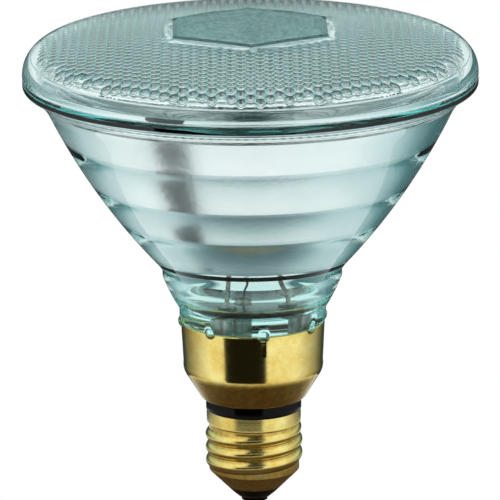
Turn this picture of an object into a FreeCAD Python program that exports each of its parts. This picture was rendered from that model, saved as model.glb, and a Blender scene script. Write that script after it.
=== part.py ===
import FreeCAD, Part
import Sketcher
import math
import os
import re

# Par spotlight bulb: a pressed glass reflector lamp on a skirted E27 screw cap.
# The axis is Z, the cap is down and the lens is up. The origin is the middle of
# the contact face at the tip of the cap, and heights are measured from there.

doc = FreeCAD.newDocument("par_spotlight_bulb")
sizes = doc.addObject("Spreadsheet::Sheet", "sizes")

# Driving dimensions, in millimetres and degrees.
DRIVING = [
    # Tip of the cap: solder button, contact disc and black glass insulator
    ("contact_height", 2.3),
    ("button_height", 1.3),
    ("button_radius", 2.6),
    ("button_flat_radius", 1.2),
    ("contact_radius", 3.5),
    ("contact_recess", 0.25),
    ("tip_face_width", 0.45),
    ("tip_edge_bevel", 0.4),
    ("tip_height", 1.9),
    ("insulator_hole_radius", 1.0),
    ("insulator_top_radius", 8.2),
    ("insulator_depth", 5.2),
    ("insulator_floor_height", 1.55),
    # E27 screw shell, rolled from brass sheet
    ("shell_sheet", 0.4),
    ("shell_tip_radius", 6.25),
    ("shell_cone_height", 6.0),
    ("shell_length", 23.1),
    ("thread_root_radius", 12.15),
    ("collar_step", 0.55),
    ("collar_height", 4.0),
    ("thread_depth", 0.95),
    ("thread_pitch", 3.629),
    ("thread_ridge_width", 2.7),
    ("thread_shoulder_width", 1.6),
    ("thread_crest_width", 0.45),
    ("thread_start_rise", 7.5),
    ("thread_height", 10.7),
    ("thread_turn", 80.0),
    # Black ring that keeps the skirt apart from the screw shell
    ("ring_overhang", 0.15),
    ("ring_band", 3.1),
    ("ring_bore_radius", 8.0),
    ("ring_spigot_length", 1.8),
    ("ring_flange_height", 1.3),
    ("seat_clearance", 0.05),
    # Brass skirt
    ("skirt_sheet", 0.5),
    ("skirt_length", 21.7),
    ("skirt_seat_width", 1.45),
    ("skirt_foot_overhang", 0.25),
    ("skirt_foot_bend", 1.3),
    ("skirt_foot_bend_height", 0.85),
    ("skirt_foot_bend_radius", 1.7),
    ("skirt_cone_spread", 3.45),
    ("skirt_cone_height", 5.75),
    ("skirt_bend_spread", 0.9),
    ("skirt_bend_height", 3.6),
    ("skirt_bend_radius", 4.6),
    ("skirt_wall_spread", 0.55),
    ("lip_hem_depth", 1.8),
    ("slot_width", 1.4),
    ("slot_depth", 5.8),
    ("slot_end_depth", 0.6),
    ("front_turn", 8.5),
    # Neck and floor of the reflector glass
    ("lip_gap", 0.2),
    ("boss_clearance", 0.5),
    ("boss_depth", 2.5),
    ("shoulder_overhang", 0.35),
    ("neck_foot_rise", 3.6),
    ("neck_top_radius", 24.05),
    ("neck_top_rise", 12.5),
    ("neck_flare_radius", 50.0),
    ("neck_band_height", 1.8),
    ("floor_thickness", 7.4),
    ("floor_radius", 12.5),
    ("neck_wall", 4.65),
    ("neck_inner_drop", 2.3),
    ("neck_corner_radius", 8.0),
    ("lug_half_width", 2.1),
    ("lug_height", 2.0),
    ("lug_reach", 0.6),
    ("lug_root", 2.0),
    # Bowl of the reflector glass
    ("bowl_foot_radius", 25.3),
    ("bowl_foot_rise", 16.2),
    ("bowl_curve_radius", 173.0),
    ("rim_flange_width", 6.5),
    ("rim_flange_depth", 8.35),
    ("rim_radius", 60.4),
    ("rim_edge_height", 1.9),
    ("rim_underside_radius", 14.0),
    ("seal_inset", 2.0),
    ("seal_width", 3.1),
    ("seal_groove", 0.45),
    ("bowl_wall", 3.3),
    ("coating_thickness", 0.25),
    ("neck_entry_radius", 18.0),
    # The mirror: its foot, its edge and the stepped bands between them
    ("mirror_foot_rise", 19.9),
    ("mirror_edge_depth", 4.75),
    ("low_band_height", 10.4),
    ("middle_band_height", 9.9),
    ("high_band_height", 12.1),
    ("top_band_height", 9.9),
    ("flute_radius", 90.0),
    # Front lens
    ("lens_edge_height", 1.2),
    ("lens_dome_radius", 330.0),
    ("lens_shoulder_radius", 8.0),
    ("lens_wall", 4.1),
    ("plate_flats", 38.6),
    ("plate_bevel", 1.3),
    ("plate_relief", 0.2),
    ("plate_turn", 1.0),
    # Thimbles, posts, filament and leads
    ("ferrule_circle_radius", 9.5),
    ("ferrule_radius", 2.9),
    ("ferrule_wall", 0.35),
    ("ferrule_drop", 3.6),
    ("ferrule_step", 0.6),
    ("ferrule_dome_height", 1.6),
    ("ferrule_crown_radius", 1.25),
    ("exhaust_hole_radius", 0.5),
    ("ferrule_turn", -52.5),
    ("post_radius", 0.6),
    ("filament_rise", 19.2),
    ("filament_length", 11.0),
    ("filament_radius", 0.75),
    ("anchor_radius", 0.3),
    ("tube_radius", 2.1),
    ("tube_wall", 0.6),
    ("tube_length", 9.0),
    ("lead_radius", 0.4),
    ("sleeve_radius", 0.9),
    ("sleeve_length", 14.0),
    ("lead_bend_radius", 3.0),
    ("solder_spot_radius", 1.5),
    ("solder_spot_inset", 0.6),
]

# Levels and radii that follow from the driving dimensions.
DERIVED = [
    ("shell_bottom_level", "contact_height + tip_height"),
    ("shell_top_level", "shell_bottom_level + shell_length"),
    ("ring_top_level", "shell_top_level + ring_band"),
    ("lip_level", "ring_top_level + skirt_length"),
    ("boss_level", "lip_level - boss_depth"),
    ("floor_level", "boss_level + floor_thickness"),
    ("tip_face_radius", "contact_radius + tip_face_width"),
    ("collar_radius", "thread_root_radius + collar_step"),
    ("thread_crest_radius", "thread_root_radius + thread_depth"),
    ("thread_shoulder_radius", "thread_root_radius + thread_depth / 2"),
    ("ring_radius", "collar_radius + ring_overhang"),
    ("spigot_radius", "collar_radius - shell_sheet - seat_clearance"),
    ("shell_cone_spread", "thread_root_radius - shell_tip_radius"),
    (
        "shell_cone_inset",
        "shell_sheet * sqrt(1 + (shell_cone_spread / shell_cone_height) ^ 2)",
    ),
    # The skirt from its hole to its lip, and the glass that stands on it
    ("skirt_hole_radius", "ring_radius - skirt_seat_width"),
    ("skirt_foot_radius", "ring_radius + skirt_foot_overhang"),
    ("cone_foot_radius", "skirt_foot_radius + skirt_foot_bend"),
    ("cone_foot_level", "ring_top_level + skirt_foot_bend_height"),
    ("cone_top_radius", "cone_foot_radius + skirt_cone_spread"),
    ("cone_top_level", "cone_foot_level + skirt_cone_height"),
    ("skirt_wall_radius", "cone_top_radius + skirt_bend_spread"),
    ("skirt_wall_level", "cone_top_level + skirt_bend_height"),
    ("skirt_lip_radius", "skirt_wall_radius + skirt_wall_spread"),
    ("boss_radius", "skirt_lip_radius - skirt_sheet * 2 - boss_clearance"),
    ("shoulder_radius", "skirt_lip_radius + shoulder_overhang"),
    ("neck_level", "lip_level + neck_top_rise"),
    ("neck_inner_radius", "neck_top_radius - neck_wall"),
    ("neck_inner_level", "neck_level - neck_inner_drop"),
    # Rises of the edges of the mirror's bands above the skirt's lip
    ("low_band_rise", "mirror_foot_rise + low_band_height"),
    ("middle_band_rise", "low_band_rise + middle_band_height"),
    ("high_band_rise", "middle_band_rise + high_band_height"),
    ("mirror_edge_rise", "high_band_rise + top_band_height"),
    # The rim, where the lens is sealed to the bowl
    ("seal_rise", "mirror_edge_rise + mirror_edge_depth"),
    ("seal_level", "lip_level + seal_rise"),
    ("seal_radius", "rim_radius - seal_inset"),
    ("seal_inner_radius", "seal_radius - seal_width"),
    ("bowl_top_radius", "rim_radius - rim_flange_width"),
    ("bowl_top_rise", "seal_rise - rim_flange_depth"),
    # Centre of the arc that the outside of the bowl follows, and its inside too
    ("bowl_spread", "bowl_top_radius - bowl_foot_radius"),
    ("bowl_climb", "bowl_top_rise - bowl_foot_rise"),
    ("bowl_chord", "sqrt(bowl_spread ^ 2 + bowl_climb ^ 2)"),
    ("bowl_centre_depth", "sqrt(bowl_curve_radius ^ 2 - bowl_chord ^ 2 / 4)"),
    (
        "bowl_centre_radius",
        "(bowl_top_radius + bowl_foot_radius) / 2 - bowl_centre_depth * bowl_climb / bowl_chord",
    ),
    (
        "bowl_centre_rise",
        "(bowl_top_rise + bowl_foot_rise) / 2 + bowl_centre_depth * bowl_spread / bowl_chord",
    ),
    # Where the lens's shoulder meets its edge and its dome
    ("lens_shoulder_centre", "rim_radius - lens_shoulder_radius"),
    ("lens_edge_level", "seal_level + lens_edge_height"),
    ("lens_lean", "lens_shoulder_centre / (lens_dome_radius - lens_shoulder_radius)"),
    ("lens_upright", "sqrt(1 - lens_lean ^ 2)"),
    (
        "lens_dome_level",
        "lens_edge_level - (lens_dome_radius - lens_shoulder_radius) * lens_upright",
    ),
    ("lens_top_level", "lens_dome_level + lens_dome_radius"),
    ("plate_level", "lens_top_level + plate_relief"),
    ("ferrule_top_level", "floor_level + ferrule_step + ferrule_dome_height"),
    ("filament_level", "lip_level + filament_rise"),
]

for row, (alias, content) in enumerate(DRIVING + DERIVED, start=1):
    name_cell = f"A{row}"
    value_cell = f"B{row}"
    sizes.set(name_cell, alias)
    sizes.set(value_cell, str(content) if isinstance(content, float) else f"={content}")
    sizes.setAlias(value_cell, alias)
doc.recompute()

FUNCTIONS = {"sqrt", "sin", "cos"}


def bound(text):
    """The expression with each size named as the sheet's own."""
    return re.sub(
        r"[a-z][a-z_]*",
        lambda word: word[0] if word[0] in FUNCTIONS else "sizes." + word[0],
        text,
    )


def value(text):
    """The number that an expression of sizes has now."""
    number = sizes.evalExpression(bound(text))
    return float(getattr(number, "Value", number))


def origin_feature(body, role):
    for feature in body.Origin.OriginFeatures:
        if feature.Role == role:
            return feature
    raise ValueError(role)


def arc_through(start, end, radius, bulge):
    """A circular arc between two points; bulge is +1 when it turns left on its way."""
    middle = (start + end) * 0.5
    chord = end - start
    half = chord.Length / 2
    offset = math.sqrt(max(radius * radius - half * half, 0.0))
    left = FreeCAD.Vector(-chord.y, chord.x, 0).normalize()
    centre = middle + left * offset * bulge
    first, last = (start, end) if bulge > 0 else (end, start)
    begin = math.atan2(first.y - centre.y, first.x - centre.x)
    finish = math.atan2(last.y - centre.y, last.x - centre.x)
    if finish < begin:
        finish += 2 * math.pi
    circle = Part.Circle(centre, FreeCAD.Vector(0, 0, 1), radius)
    return Part.ArcOfCircle(circle, begin, finish)


def pin_point(sketch, geometry, end, across, up):
    """Places one sketch point by two expressions, measured from the origin."""
    for kind, axis, text in (("DistanceX", -2, across), ("DistanceY", -1, up)):
        if text == "0":
            sketch.addConstraint(Sketcher.Constraint("PointOnObject", geometry, end, axis))
            continue
        index = sketch.addConstraint(
            Sketcher.Constraint(kind, -1, 1, geometry, end, value(text))
        )
        name = f"{kind}_{geometry}_{end}"
        sketch.renameConstraint(index, name)
        sketch.setExpression(f"Constraints.{name}", bound(text))


def outline_sketch(body, name, role, corners):
    """A closed sketch. A corner is (across, up), or (across, up, radius, bulge) when an
    arc of that radius runs from it to the next corner."""
    sketch = body.newObject("Sketcher::SketchObject", name)
    sketch.AttachmentSupport = [(origin_feature(body, role), "")]
    sketch.MapMode = "FlatFace"
    points = [FreeCAD.Vector(value(c[0]), value(c[1]), 0) for c in corners]
    ends = []
    for i, corner in enumerate(corners):
        start = points[i]
        end = points[(i + 1) % len(points)]
        if len(corner) == 2:
            index = sketch.addGeometry(Part.LineSegment(start, end))
            ends.append((index, 1, 2))
            continue
        radius, bulge = corner[2], corner[3]
        index = sketch.addGeometry(arc_through(start, end, value(radius), bulge))
        ends.append((index, 1, 2) if bulge > 0 else (index, 2, 1))
        constraint = sketch.addConstraint(Sketcher.Constraint("Radius", index, value(radius)))
        sketch.renameConstraint(constraint, f"Radius_{index}")
        sketch.setExpression(f"Constraints.Radius_{index}", bound(radius))
    for i, (index, first, last) in enumerate(ends):
        following, following_first, following_last = ends[(i + 1) % len(ends)]
        sketch.addConstraint(
            Sketcher.Constraint("Coincident", index, last, following, following_first)
        )
        pin_point(sketch, index, first, corners[i][0], corners[i][1])
    return sketch


def turned_body(label, corners):
    """A body turned about the Z axis from one closed outline of (radius, level)."""
    body = doc.addObject("PartDesign::Body", label)
    sketch = outline_sketch(body, label + "_outline", "XZ_Plane", corners)
    turned = body.newObject("PartDesign::Revolution", label + "_turned")
    turned.Profile = sketch
    turned.ReferenceAxis = (sketch, ["V_Axis"])
    turned.Angle = 360
    body.Tip = turned
    return body


def arc_radius(half_width, rise):
    """Radius of the arc that rises that much over twice that half width."""
    return f"({half_width} ^ 2 + {rise} ^ 2) / (2 * {rise})"


# Solder button: a low dome with a small flat, which is the contact face of the lamp.
contact_solder = turned_body("contact_solder", [
    ("0", "0"),
    ("button_flat_radius", "0", "button_radius", 1),
    ("button_radius", "button_height"),
    ("0", "button_height"),
])

# Contact disc: a flat brass disc set in the tip's recess.
centre_contact = turned_body("centre_contact", [
    ("insulator_hole_radius", "button_height"),
    ("contact_radius", "button_height"),
    ("contact_radius", "contact_height + contact_recess"),
    ("insulator_hole_radius", "contact_height + contact_recess"),
])

# Black glass insulator: poured into the cone of the shell and standing out of its tip.
CONE_SLOPE = "(shell_cone_spread / shell_cone_height)"
INNER_CONE_SHIFT = "(shell_cone_inset + seat_clearance)"
base_insulator = turned_body("base_insulator", [
    ("insulator_hole_radius", "contact_height + contact_recess"),
    ("contact_radius", "contact_height + contact_recess"),
    ("contact_radius", "contact_height"),
    ("tip_face_radius", "contact_height"),
    ("tip_face_radius + tip_edge_bevel", "contact_height + tip_edge_bevel / 2"),
    ("shell_tip_radius", "shell_bottom_level - seat_clearance"),
    (f"shell_tip_radius - {INNER_CONE_SHIFT}", "shell_bottom_level - seat_clearance"),
    (
        f"shell_tip_radius - {INNER_CONE_SHIFT} + insulator_depth * {CONE_SLOPE}",
        "shell_bottom_level + insulator_depth",
    ),
    ("insulator_top_radius", "shell_bottom_level + insulator_depth"),
    ("insulator_hole_radius", "shell_bottom_level + insulator_floor_height"),
])

# Insulating ring: a black band with a spigot in the shell and a flange that grips the skirt.
insulating_ring = turned_body("insulating_ring", [
    ("ring_bore_radius", "shell_top_level - ring_spigot_length"),
    ("spigot_radius", "shell_top_level - ring_spigot_length"),
    ("spigot_radius", "shell_top_level"),
    ("ring_radius", "shell_top_level"),
    ("ring_radius", "ring_top_level"),
    ("skirt_hole_radius - seat_clearance", "ring_top_level"),
    ("skirt_hole_radius - seat_clearance", "ring_top_level + skirt_sheet"),
    ("ring_radius", "ring_top_level + skirt_sheet"),
    ("ring_radius - ring_flange_height / 2", "ring_top_level + skirt_sheet + ring_flange_height"),
    ("ring_bore_radius", "ring_top_level + skirt_sheet + ring_flange_height"),
])

# Skirt: one drawn cup of brass sheet, whose lip is hemmed inwards and slotted four times.
skirt = turned_body("skirt", [
    ("skirt_hole_radius", "ring_top_level"),
    ("skirt_foot_radius", "ring_top_level", "skirt_foot_bend_radius", 1),
    ("cone_foot_radius", "cone_foot_level"),
    ("cone_top_radius", "cone_top_level", "skirt_bend_radius", 1),
    ("skirt_wall_radius", "skirt_wall_level"),
    ("skirt_lip_radius", "lip_level - skirt_sheet", "skirt_sheet", 1),
    ("skirt_lip_radius - skirt_sheet", "lip_level", "skirt_sheet", 1),
    ("skirt_lip_radius - skirt_sheet * 2", "lip_level - skirt_sheet"),
    ("skirt_lip_radius - skirt_sheet * 2", "lip_level - lip_hem_depth"),
    ("skirt_lip_radius - skirt_sheet", "lip_level - lip_hem_depth"),
    ("skirt_wall_radius - skirt_sheet", "skirt_wall_level"),
    ("cone_top_radius - skirt_sheet", "cone_top_level"),
    ("skirt_foot_radius", "ring_top_level + skirt_sheet"),
    ("skirt_hole_radius", "ring_top_level + skirt_sheet"),
])
SLOT_END = "lip_level - slot_depth + slot_end_depth"
slot_outline = outline_sketch(skirt, "slot_outline", "XZ_Plane", [
    ("- slot_width / 2", "lip_level + slot_width"),
    ("- slot_width / 2", SLOT_END, arc_radius("(slot_width / 2)", "slot_end_depth"), 1),
    ("slot_width / 2", SLOT_END),
    ("slot_width / 2", "lip_level + slot_width"),
])
slot = skirt.newObject("PartDesign::Pocket", "slot")
slot.Profile = slot_outline
slot.Type = 1
slot.Reversed = True
skirt.Tip = slot
SLOTS = 4
slots = skirt.newObject("PartDesign::PolarPattern", "slots")
slots.Originals = [slot]
slots.Axis = (origin_feature(skirt, "Z_Axis"), [""])
slots.Angle = 360
slots.Occurrences = SLOTS
skirt.Tip = slots

# Screw shell: brass sheet with a plain collar, a cone to the tip and the rolled thread,
# a rounded ridge that winds between them.
screw_shell = turned_body("screw_shell", [
    ("shell_tip_radius", "shell_bottom_level"),
    ("thread_root_radius", "shell_bottom_level + shell_cone_height"),
    ("thread_root_radius", "shell_top_level - collar_height"),
    ("collar_radius", "shell_top_level - collar_height + shell_sheet"),
    ("collar_radius", "shell_top_level"),
    ("collar_radius - shell_sheet", "shell_top_level"),
    ("collar_radius - shell_sheet", "shell_top_level - collar_height + shell_sheet"),
    ("thread_root_radius - shell_sheet", "shell_top_level - collar_height"),
    (
        "thread_root_radius - shell_sheet",
        f"shell_bottom_level + shell_cone_height + shell_cone_inset / {CONE_SLOPE} - shell_sheet"
        f" / {CONE_SLOPE}",
    ),
    ("shell_tip_radius - shell_cone_inset", "shell_bottom_level"),
])
THREAD_START = "shell_bottom_level + thread_start_rise"
ridge_outline = outline_sketch(screw_shell, "thread_ridge", "XZ_Plane", [
    ("thread_root_radius - shell_sheet / 2", f"{THREAD_START} - thread_ridge_width / 2"),
    ("thread_shoulder_radius", f"{THREAD_START} - thread_shoulder_width / 2"),
    ("thread_crest_radius", f"{THREAD_START} - thread_crest_width / 2"),
    ("thread_crest_radius", f"{THREAD_START} + thread_crest_width / 2"),
    ("thread_shoulder_radius", f"{THREAD_START} + thread_shoulder_width / 2"),
    ("thread_root_radius - shell_sheet / 2", f"{THREAD_START} + thread_ridge_width / 2"),
])
thread = screw_shell.newObject("PartDesign::AdditiveHelix", "thread")
thread.Profile = ridge_outline
thread.ReferenceAxis = (ridge_outline, ["V_Axis"])
thread.Mode = 0
thread.setExpression("Pitch", "sizes.thread_pitch")
thread.setExpression("Height", "sizes.thread_height")
screw_shell.Tip = thread

# Reflector glass: one pressing, with the bowl, its rim flange, the thick neck, the floor that
# the thimbles pass through and the eight lugs that the skirt is clenched under.
BAND_EDGES = ["mirror_edge_rise", "high_band_rise", "middle_band_rise", "low_band_rise"]
FOOT = "mirror_foot_rise"


def bowl_inside(rise):
    """Radius of the bowl's inner face at a rise above the skirt's lip."""
    reach = f"(bowl_curve_radius - bowl_wall) ^ 2 - ({rise} - bowl_centre_rise) ^ 2"
    return f"(bowl_centre_radius + sqrt({reach}))"


band_corners = [
    (bowl_inside(rise), f"lip_level + {rise}", "flute_radius", 1) for rise in BAND_EDGES
]
reflector_glass = turned_body("reflector_glass", [
    ("0", "boss_level"),
    ("boss_radius", "boss_level"),
    ("boss_radius", "lip_level + lip_gap"),
    ("shoulder_radius", "lip_level + lip_gap"),
    ("shoulder_radius", "lip_level + neck_foot_rise", "neck_flare_radius", 1),
    ("neck_top_radius", "neck_level"),
    ("neck_top_radius", "neck_level + neck_band_height"),
    ("bowl_foot_radius", "lip_level + bowl_foot_rise", "bowl_curve_radius", 1),
    ("bowl_top_radius", "lip_level + bowl_top_rise", "rim_underside_radius", -1),
    ("rim_radius - seal_groove", "seal_level - rim_edge_height - seal_groove"),
    ("rim_radius", "seal_level - rim_edge_height"),
    ("rim_radius", "seal_level - seal_groove"),
    ("seal_radius", "seal_level"),
    ("seal_inner_radius", "seal_level"),
] + band_corners + [
    (bowl_inside(FOOT), f"lip_level + {FOOT}", "neck_entry_radius", 1),
    ("neck_inner_radius", "neck_inner_level", "neck_corner_radius", -1),
    ("floor_radius", "floor_level"),
    ("0", "floor_level"),
])
lug_outline = outline_sketch(reflector_glass, "lug_outline", "XZ_Plane", [
    ("lug_half_width", "lip_level + lip_gap", arc_radius("lug_half_width", "lug_height"), 1),
    ("- lug_half_width", "lip_level + lip_gap"),
])
lug_outline.setExpression("AttachmentOffset.Base.z", bound("shoulder_radius - lug_root"))
lug = reflector_glass.newObject("PartDesign::Pad", "lug")
lug.Profile = lug_outline
lug.setExpression("Length", bound("lug_root + lug_reach"))
reflector_glass.Tip = lug
LUGS = 2 * SLOTS
lugs = reflector_glass.newObject("PartDesign::PolarPattern", "lugs")
lugs.Originals = [lug]
lugs.Axis = (origin_feature(reflector_glass, "Z_Axis"), [""])
lugs.Angle = 360
lugs.Occurrences = LUGS
reflector_glass.Tip = lugs
THIMBLES = 3
hole_outline = outline_sketch(reflector_glass, "hole_outline", "XZ_Plane", [
    ("ferrule_circle_radius", "boss_level"),
    ("ferrule_circle_radius + ferrule_radius - ferrule_wall", "boss_level"),
    ("ferrule_circle_radius + ferrule_radius - ferrule_wall", "ferrule_top_level"),
    ("ferrule_circle_radius", "ferrule_top_level"),
])
hole_axis = hole_outline.addGeometry(Part.LineSegment(
    FreeCAD.Vector(value("ferrule_circle_radius"), 0, 0),
    FreeCAD.Vector(value("ferrule_circle_radius"), value("floor_thickness"), 0),
), True)
hole_outline.addConstraint(Sketcher.Constraint("PointOnObject", hole_axis, 1, -1))
hole_outline.addConstraint(Sketcher.Constraint("Vertical", hole_axis))
hole_outline.addConstraint(Sketcher.Constraint("PointOnObject", 3, 1, hole_axis))
hole_outline.addConstraint(
    Sketcher.Constraint("DistanceY", hole_axis, 1, hole_axis, 2, value("floor_thickness"))
)
about_axis = FreeCAD.Rotation(FreeCAD.Vector(0, 1, 0), value("ferrule_turn") - 90)
hole_outline.AttachmentOffset = FreeCAD.Placement(FreeCAD.Vector(), about_axis)
hole_outline.setExpression("AttachmentOffset.Rotation.Angle", bound("ferrule_turn - 90"))
hole = reflector_glass.newObject("PartDesign::Groove", "thimble_hole")
hole.Profile = hole_outline
hole.ReferenceAxis = (hole_outline, ["Axis0"])
hole.Angle = 360
reflector_glass.Tip = hole
holes = reflector_glass.newObject("PartDesign::PolarPattern", "thimble_holes")
holes.Originals = [hole]
holes.Axis = (origin_feature(reflector_glass, "Z_Axis"), [""])
holes.Angle = 360
holes.Occurrences = THIMBLES
reflector_glass.Tip = holes

# Mirror coating: the aluminium film on the bowl's inner face, drawn thick enough to hold.
FILM_BACK = "seat_clearance"
FILM_FACE = "(seat_clearance + coating_thickness)"
film_back = [
    (f"{bowl_inside(rise)} - {FILM_BACK}", f"lip_level + {rise}", "flute_radius", -1)
    for rise in [FOOT] + BAND_EDGES[:0:-1]
]
film_edge = [(f"{bowl_inside(BAND_EDGES[0])} - {FILM_BACK}", f"lip_level + {BAND_EDGES[0]}")]
film_face = [
    (f"{bowl_inside(rise)} - {FILM_FACE}", f"lip_level + {rise}", "flute_radius", 1)
    for rise in BAND_EDGES
]
film_foot = [(f"{bowl_inside(FOOT)} - {FILM_FACE}", f"lip_level + {FOOT}")]
mirror_coating = turned_body("mirror_coating", film_back + film_edge + film_face + film_foot)

# Front lens: a shallow pressed dome with a round shoulder and a bare hexagonal plate.
DOME_INSIDE = "(lens_dome_radius - lens_wall)"
SHOULDER_INSIDE = "lens_shoulder_radius - lens_wall"
front_lens = turned_body("front_lens", [
    ("seal_inner_radius", "seal_level"),
    ("seal_radius", "seal_level"),
    ("rim_radius", "seal_level + seal_groove"),
    ("rim_radius", "lens_edge_level", "lens_shoulder_radius", 1),
    (
        "lens_dome_radius * lens_lean",
        "lens_dome_level + lens_dome_radius * lens_upright",
        "lens_dome_radius",
        1,
    ),
    ("0", "lens_top_level"),
    ("0", "lens_top_level - lens_wall", DOME_INSIDE, -1),
    (
        f"{DOME_INSIDE} * lens_lean",
        f"lens_dome_level + {DOME_INSIDE} * lens_upright",
        SHOULDER_INSIDE,
        -1,
    ),
    ("rim_radius - lens_wall", "lens_edge_level"),
])


def hexagon(body, name, flats, level):
    """A regular hexagon with two flats at the sides, on a level plane."""
    half = f"({flats}) / 2"
    corner = f"({flats}) / sqrt(3)"
    sketch = outline_sketch(body, name, "XY_Plane", [
        ("0", f"- {corner}"),
        (half, f"- {corner} / 2"),
        (half, f"{corner} / 2"),
        ("0", corner),
        (f"- {half}", f"{corner} / 2"),
        (f"- {half}", f"- {corner} / 2"),
    ])
    sketch.setExpression("AttachmentOffset.Base.z", bound(level))
    return sketch


plate_foot = hexagon(
    front_lens, "plate_foot", "plate_flats + plate_bevel * 2", "plate_level - plate_bevel"
)
plate_face = hexagon(front_lens, "plate_face", "plate_flats", "plate_level")
plate = front_lens.newObject("PartDesign::AdditiveLoft", "plate")
plate.Profile = plate_foot
plate.Sections = [plate_face]
plate.Ruled = True
front_lens.Tip = plate


CUP_OUTSIDE = "ferrule_radius - ferrule_wall - seat_clearance"
CUP_INSIDE = "ferrule_radius - ferrule_wall * 2 - seat_clearance"
CROWN_INSIDE = "ferrule_top_level - ferrule_wall"
CLOSED_CROWN = [("0", "ferrule_top_level"), ("0", CROWN_INSIDE)]
PIERCED_CROWN = [("exhaust_hole_radius", "ferrule_top_level"), ("exhaust_hole_radius", CROWN_INSIDE)]


def thimble(label, crown):
    """A domed metal cup, open below, with a foot flange under the glass floor."""
    return turned_body(label, [
        (CUP_INSIDE, "boss_level - ferrule_drop"),
        (CUP_OUTSIDE, "boss_level - ferrule_drop"),
        (CUP_OUTSIDE, "boss_level - ferrule_wall"),
        ("ferrule_radius", "boss_level - ferrule_wall"),
        ("ferrule_radius", "boss_level"),
        (CUP_OUTSIDE, "boss_level"),
        (CUP_OUTSIDE, "floor_level + ferrule_step", CUP_OUTSIDE, 1),
        ("ferrule_crown_radius", "ferrule_top_level"),
    ] + crown + [
        ("ferrule_crown_radius", CROWN_INSIDE, CUP_INSIDE, -1),
        (CUP_INSIDE, "floor_level + ferrule_step - ferrule_wall"),
    ])


def place_at_thimble(piece, number):
    """Moves a piece from the axis to one of the thimbles, which stand on one circle."""
    angle = f"front_turn + ferrule_turn + {number} * 360 / {THIMBLES}"
    piece.setExpression("Placement.Base.x", bound(f"ferrule_circle_radius * sin({angle})"))
    piece.setExpression("Placement.Base.y", bound(f"0 - ferrule_circle_radius * cos({angle})"))


def thimble_point(number, level, radius="ferrule_circle_radius"):
    """A point on a thimble's own axis, or at another radius on the same bearing."""
    turn = value("front_turn") + value("ferrule_turn") + number * 360 / THIMBLES
    bearing = math.radians(turn)
    reach = value(radius)
    return FreeCAD.Vector(reach * math.sin(bearing), -reach * math.cos(bearing), level)


LEFT, RIGHT, PUMPED = 0, 1, 2
ferrule_left = thimble("ferrule_left", CLOSED_CROWN)
place_at_thimble(ferrule_left, LEFT)
ferrule_right = thimble("ferrule_right", CLOSED_CROWN)
place_at_thimble(ferrule_right, RIGHT)
exhaust_ferrule = thimble("exhaust_ferrule", PIERCED_CROWN)
place_at_thimble(exhaust_ferrule, PUMPED)

# Exhaust tube: the glass tube in the third thimble, melted shut at its lower end.
exhaust_tube = turned_body("exhaust_tube", [
    ("0", "boss_level - tube_length"),
    ("tube_radius - tube_wall", "boss_level - tube_length"),
    ("tube_radius", "boss_level - tube_length + tube_wall * 2"),
    ("tube_radius", "boss_level"),
    ("tube_radius - tube_wall", "boss_level"),
    ("tube_radius - tube_wall", "boss_level - tube_length + tube_wall * 3"),
    ("0", "boss_level - tube_length + tube_wall * 2"),
])
place_at_thimble(exhaust_tube, PUMPED)


RUN_SHARE = 0.45


def bent_path(points, bend_radius):
    """Straight runs joined by tangent arcs of one radius. An arc takes up no more than
    its share of a short run."""
    edges = []
    start = points[0]
    for before, corner, after in zip(points, points[1:], points[2:]):
        back = (before - corner).normalize()
        ahead = (after - corner).normalize()
        half = back.getAngle(ahead) / 2
        room = RUN_SHARE * min((before - corner).Length, (after - corner).Length)
        reach = min(bend_radius / math.tan(half), room)
        radius = reach * math.tan(half)
        first = corner + back * reach
        last = corner + ahead * reach
        inward = (back + ahead).normalize()
        middle = corner + inward * (radius / math.sin(half) - radius)
        edges.append(Part.LineSegment(start, first).toShape())
        edges.append(Part.Arc(first, middle, last).toShape())
        start = last
    edges.append(Part.LineSegment(start, points[-1]).toShape())
    return Part.Wire(edges)


def wire_piece(label, points, radius, bend_radius):
    """A round wire that follows a bent path."""
    path = bent_path(points, bend_radius)
    section = Part.Wire(Part.makeCircle(radius, points[0], points[1] - points[0]))
    piece = doc.addObject("Part::Feature", label)
    piece.Shape = path.makePipeShell([section], True, False)
    return piece


# Posts: stiff rods brazed on the thimbles' domes, bent in to hold the filament's two ends.
dome_top = value("ferrule_top_level")
filament_level = value("filament_level")
post_radius = value("post_radius")
post_reach = value("filament_length") / 2 + post_radius
bend = value("lead_bend_radius")


def post_points(number, side):
    foot = thimble_point(number, dome_top)
    knee = thimble_point(number, dome_top + bend)
    hand = FreeCAD.Vector(side * post_reach, 0, filament_level - bend)
    tip = FreeCAD.Vector(side * post_reach, 0, filament_level + 2 * post_radius)
    return [foot, knee, hand, tip]


support_post_left = wire_piece("support_post_left", post_points(LEFT, -1), post_radius, bend)
support_post_right = wire_piece("support_post_right", post_points(RIGHT, 1), post_radius, bend)

# Filament: the coiled coil of tungsten, as the outline that its turns fill.
filament = doc.addObject("Part::Cylinder", "filament")
filament.setExpression("Radius", "sizes.filament_radius")
filament.setExpression("Height", "sizes.filament_length")
filament.Placement.Rotation = FreeCAD.Rotation(FreeCAD.Vector(0, 1, 0), 90)
filament.setExpression("Placement.Base.x", bound("0 - filament_length / 2"))
filament.setExpression("Placement.Base.z", "sizes.filament_level")

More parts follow.
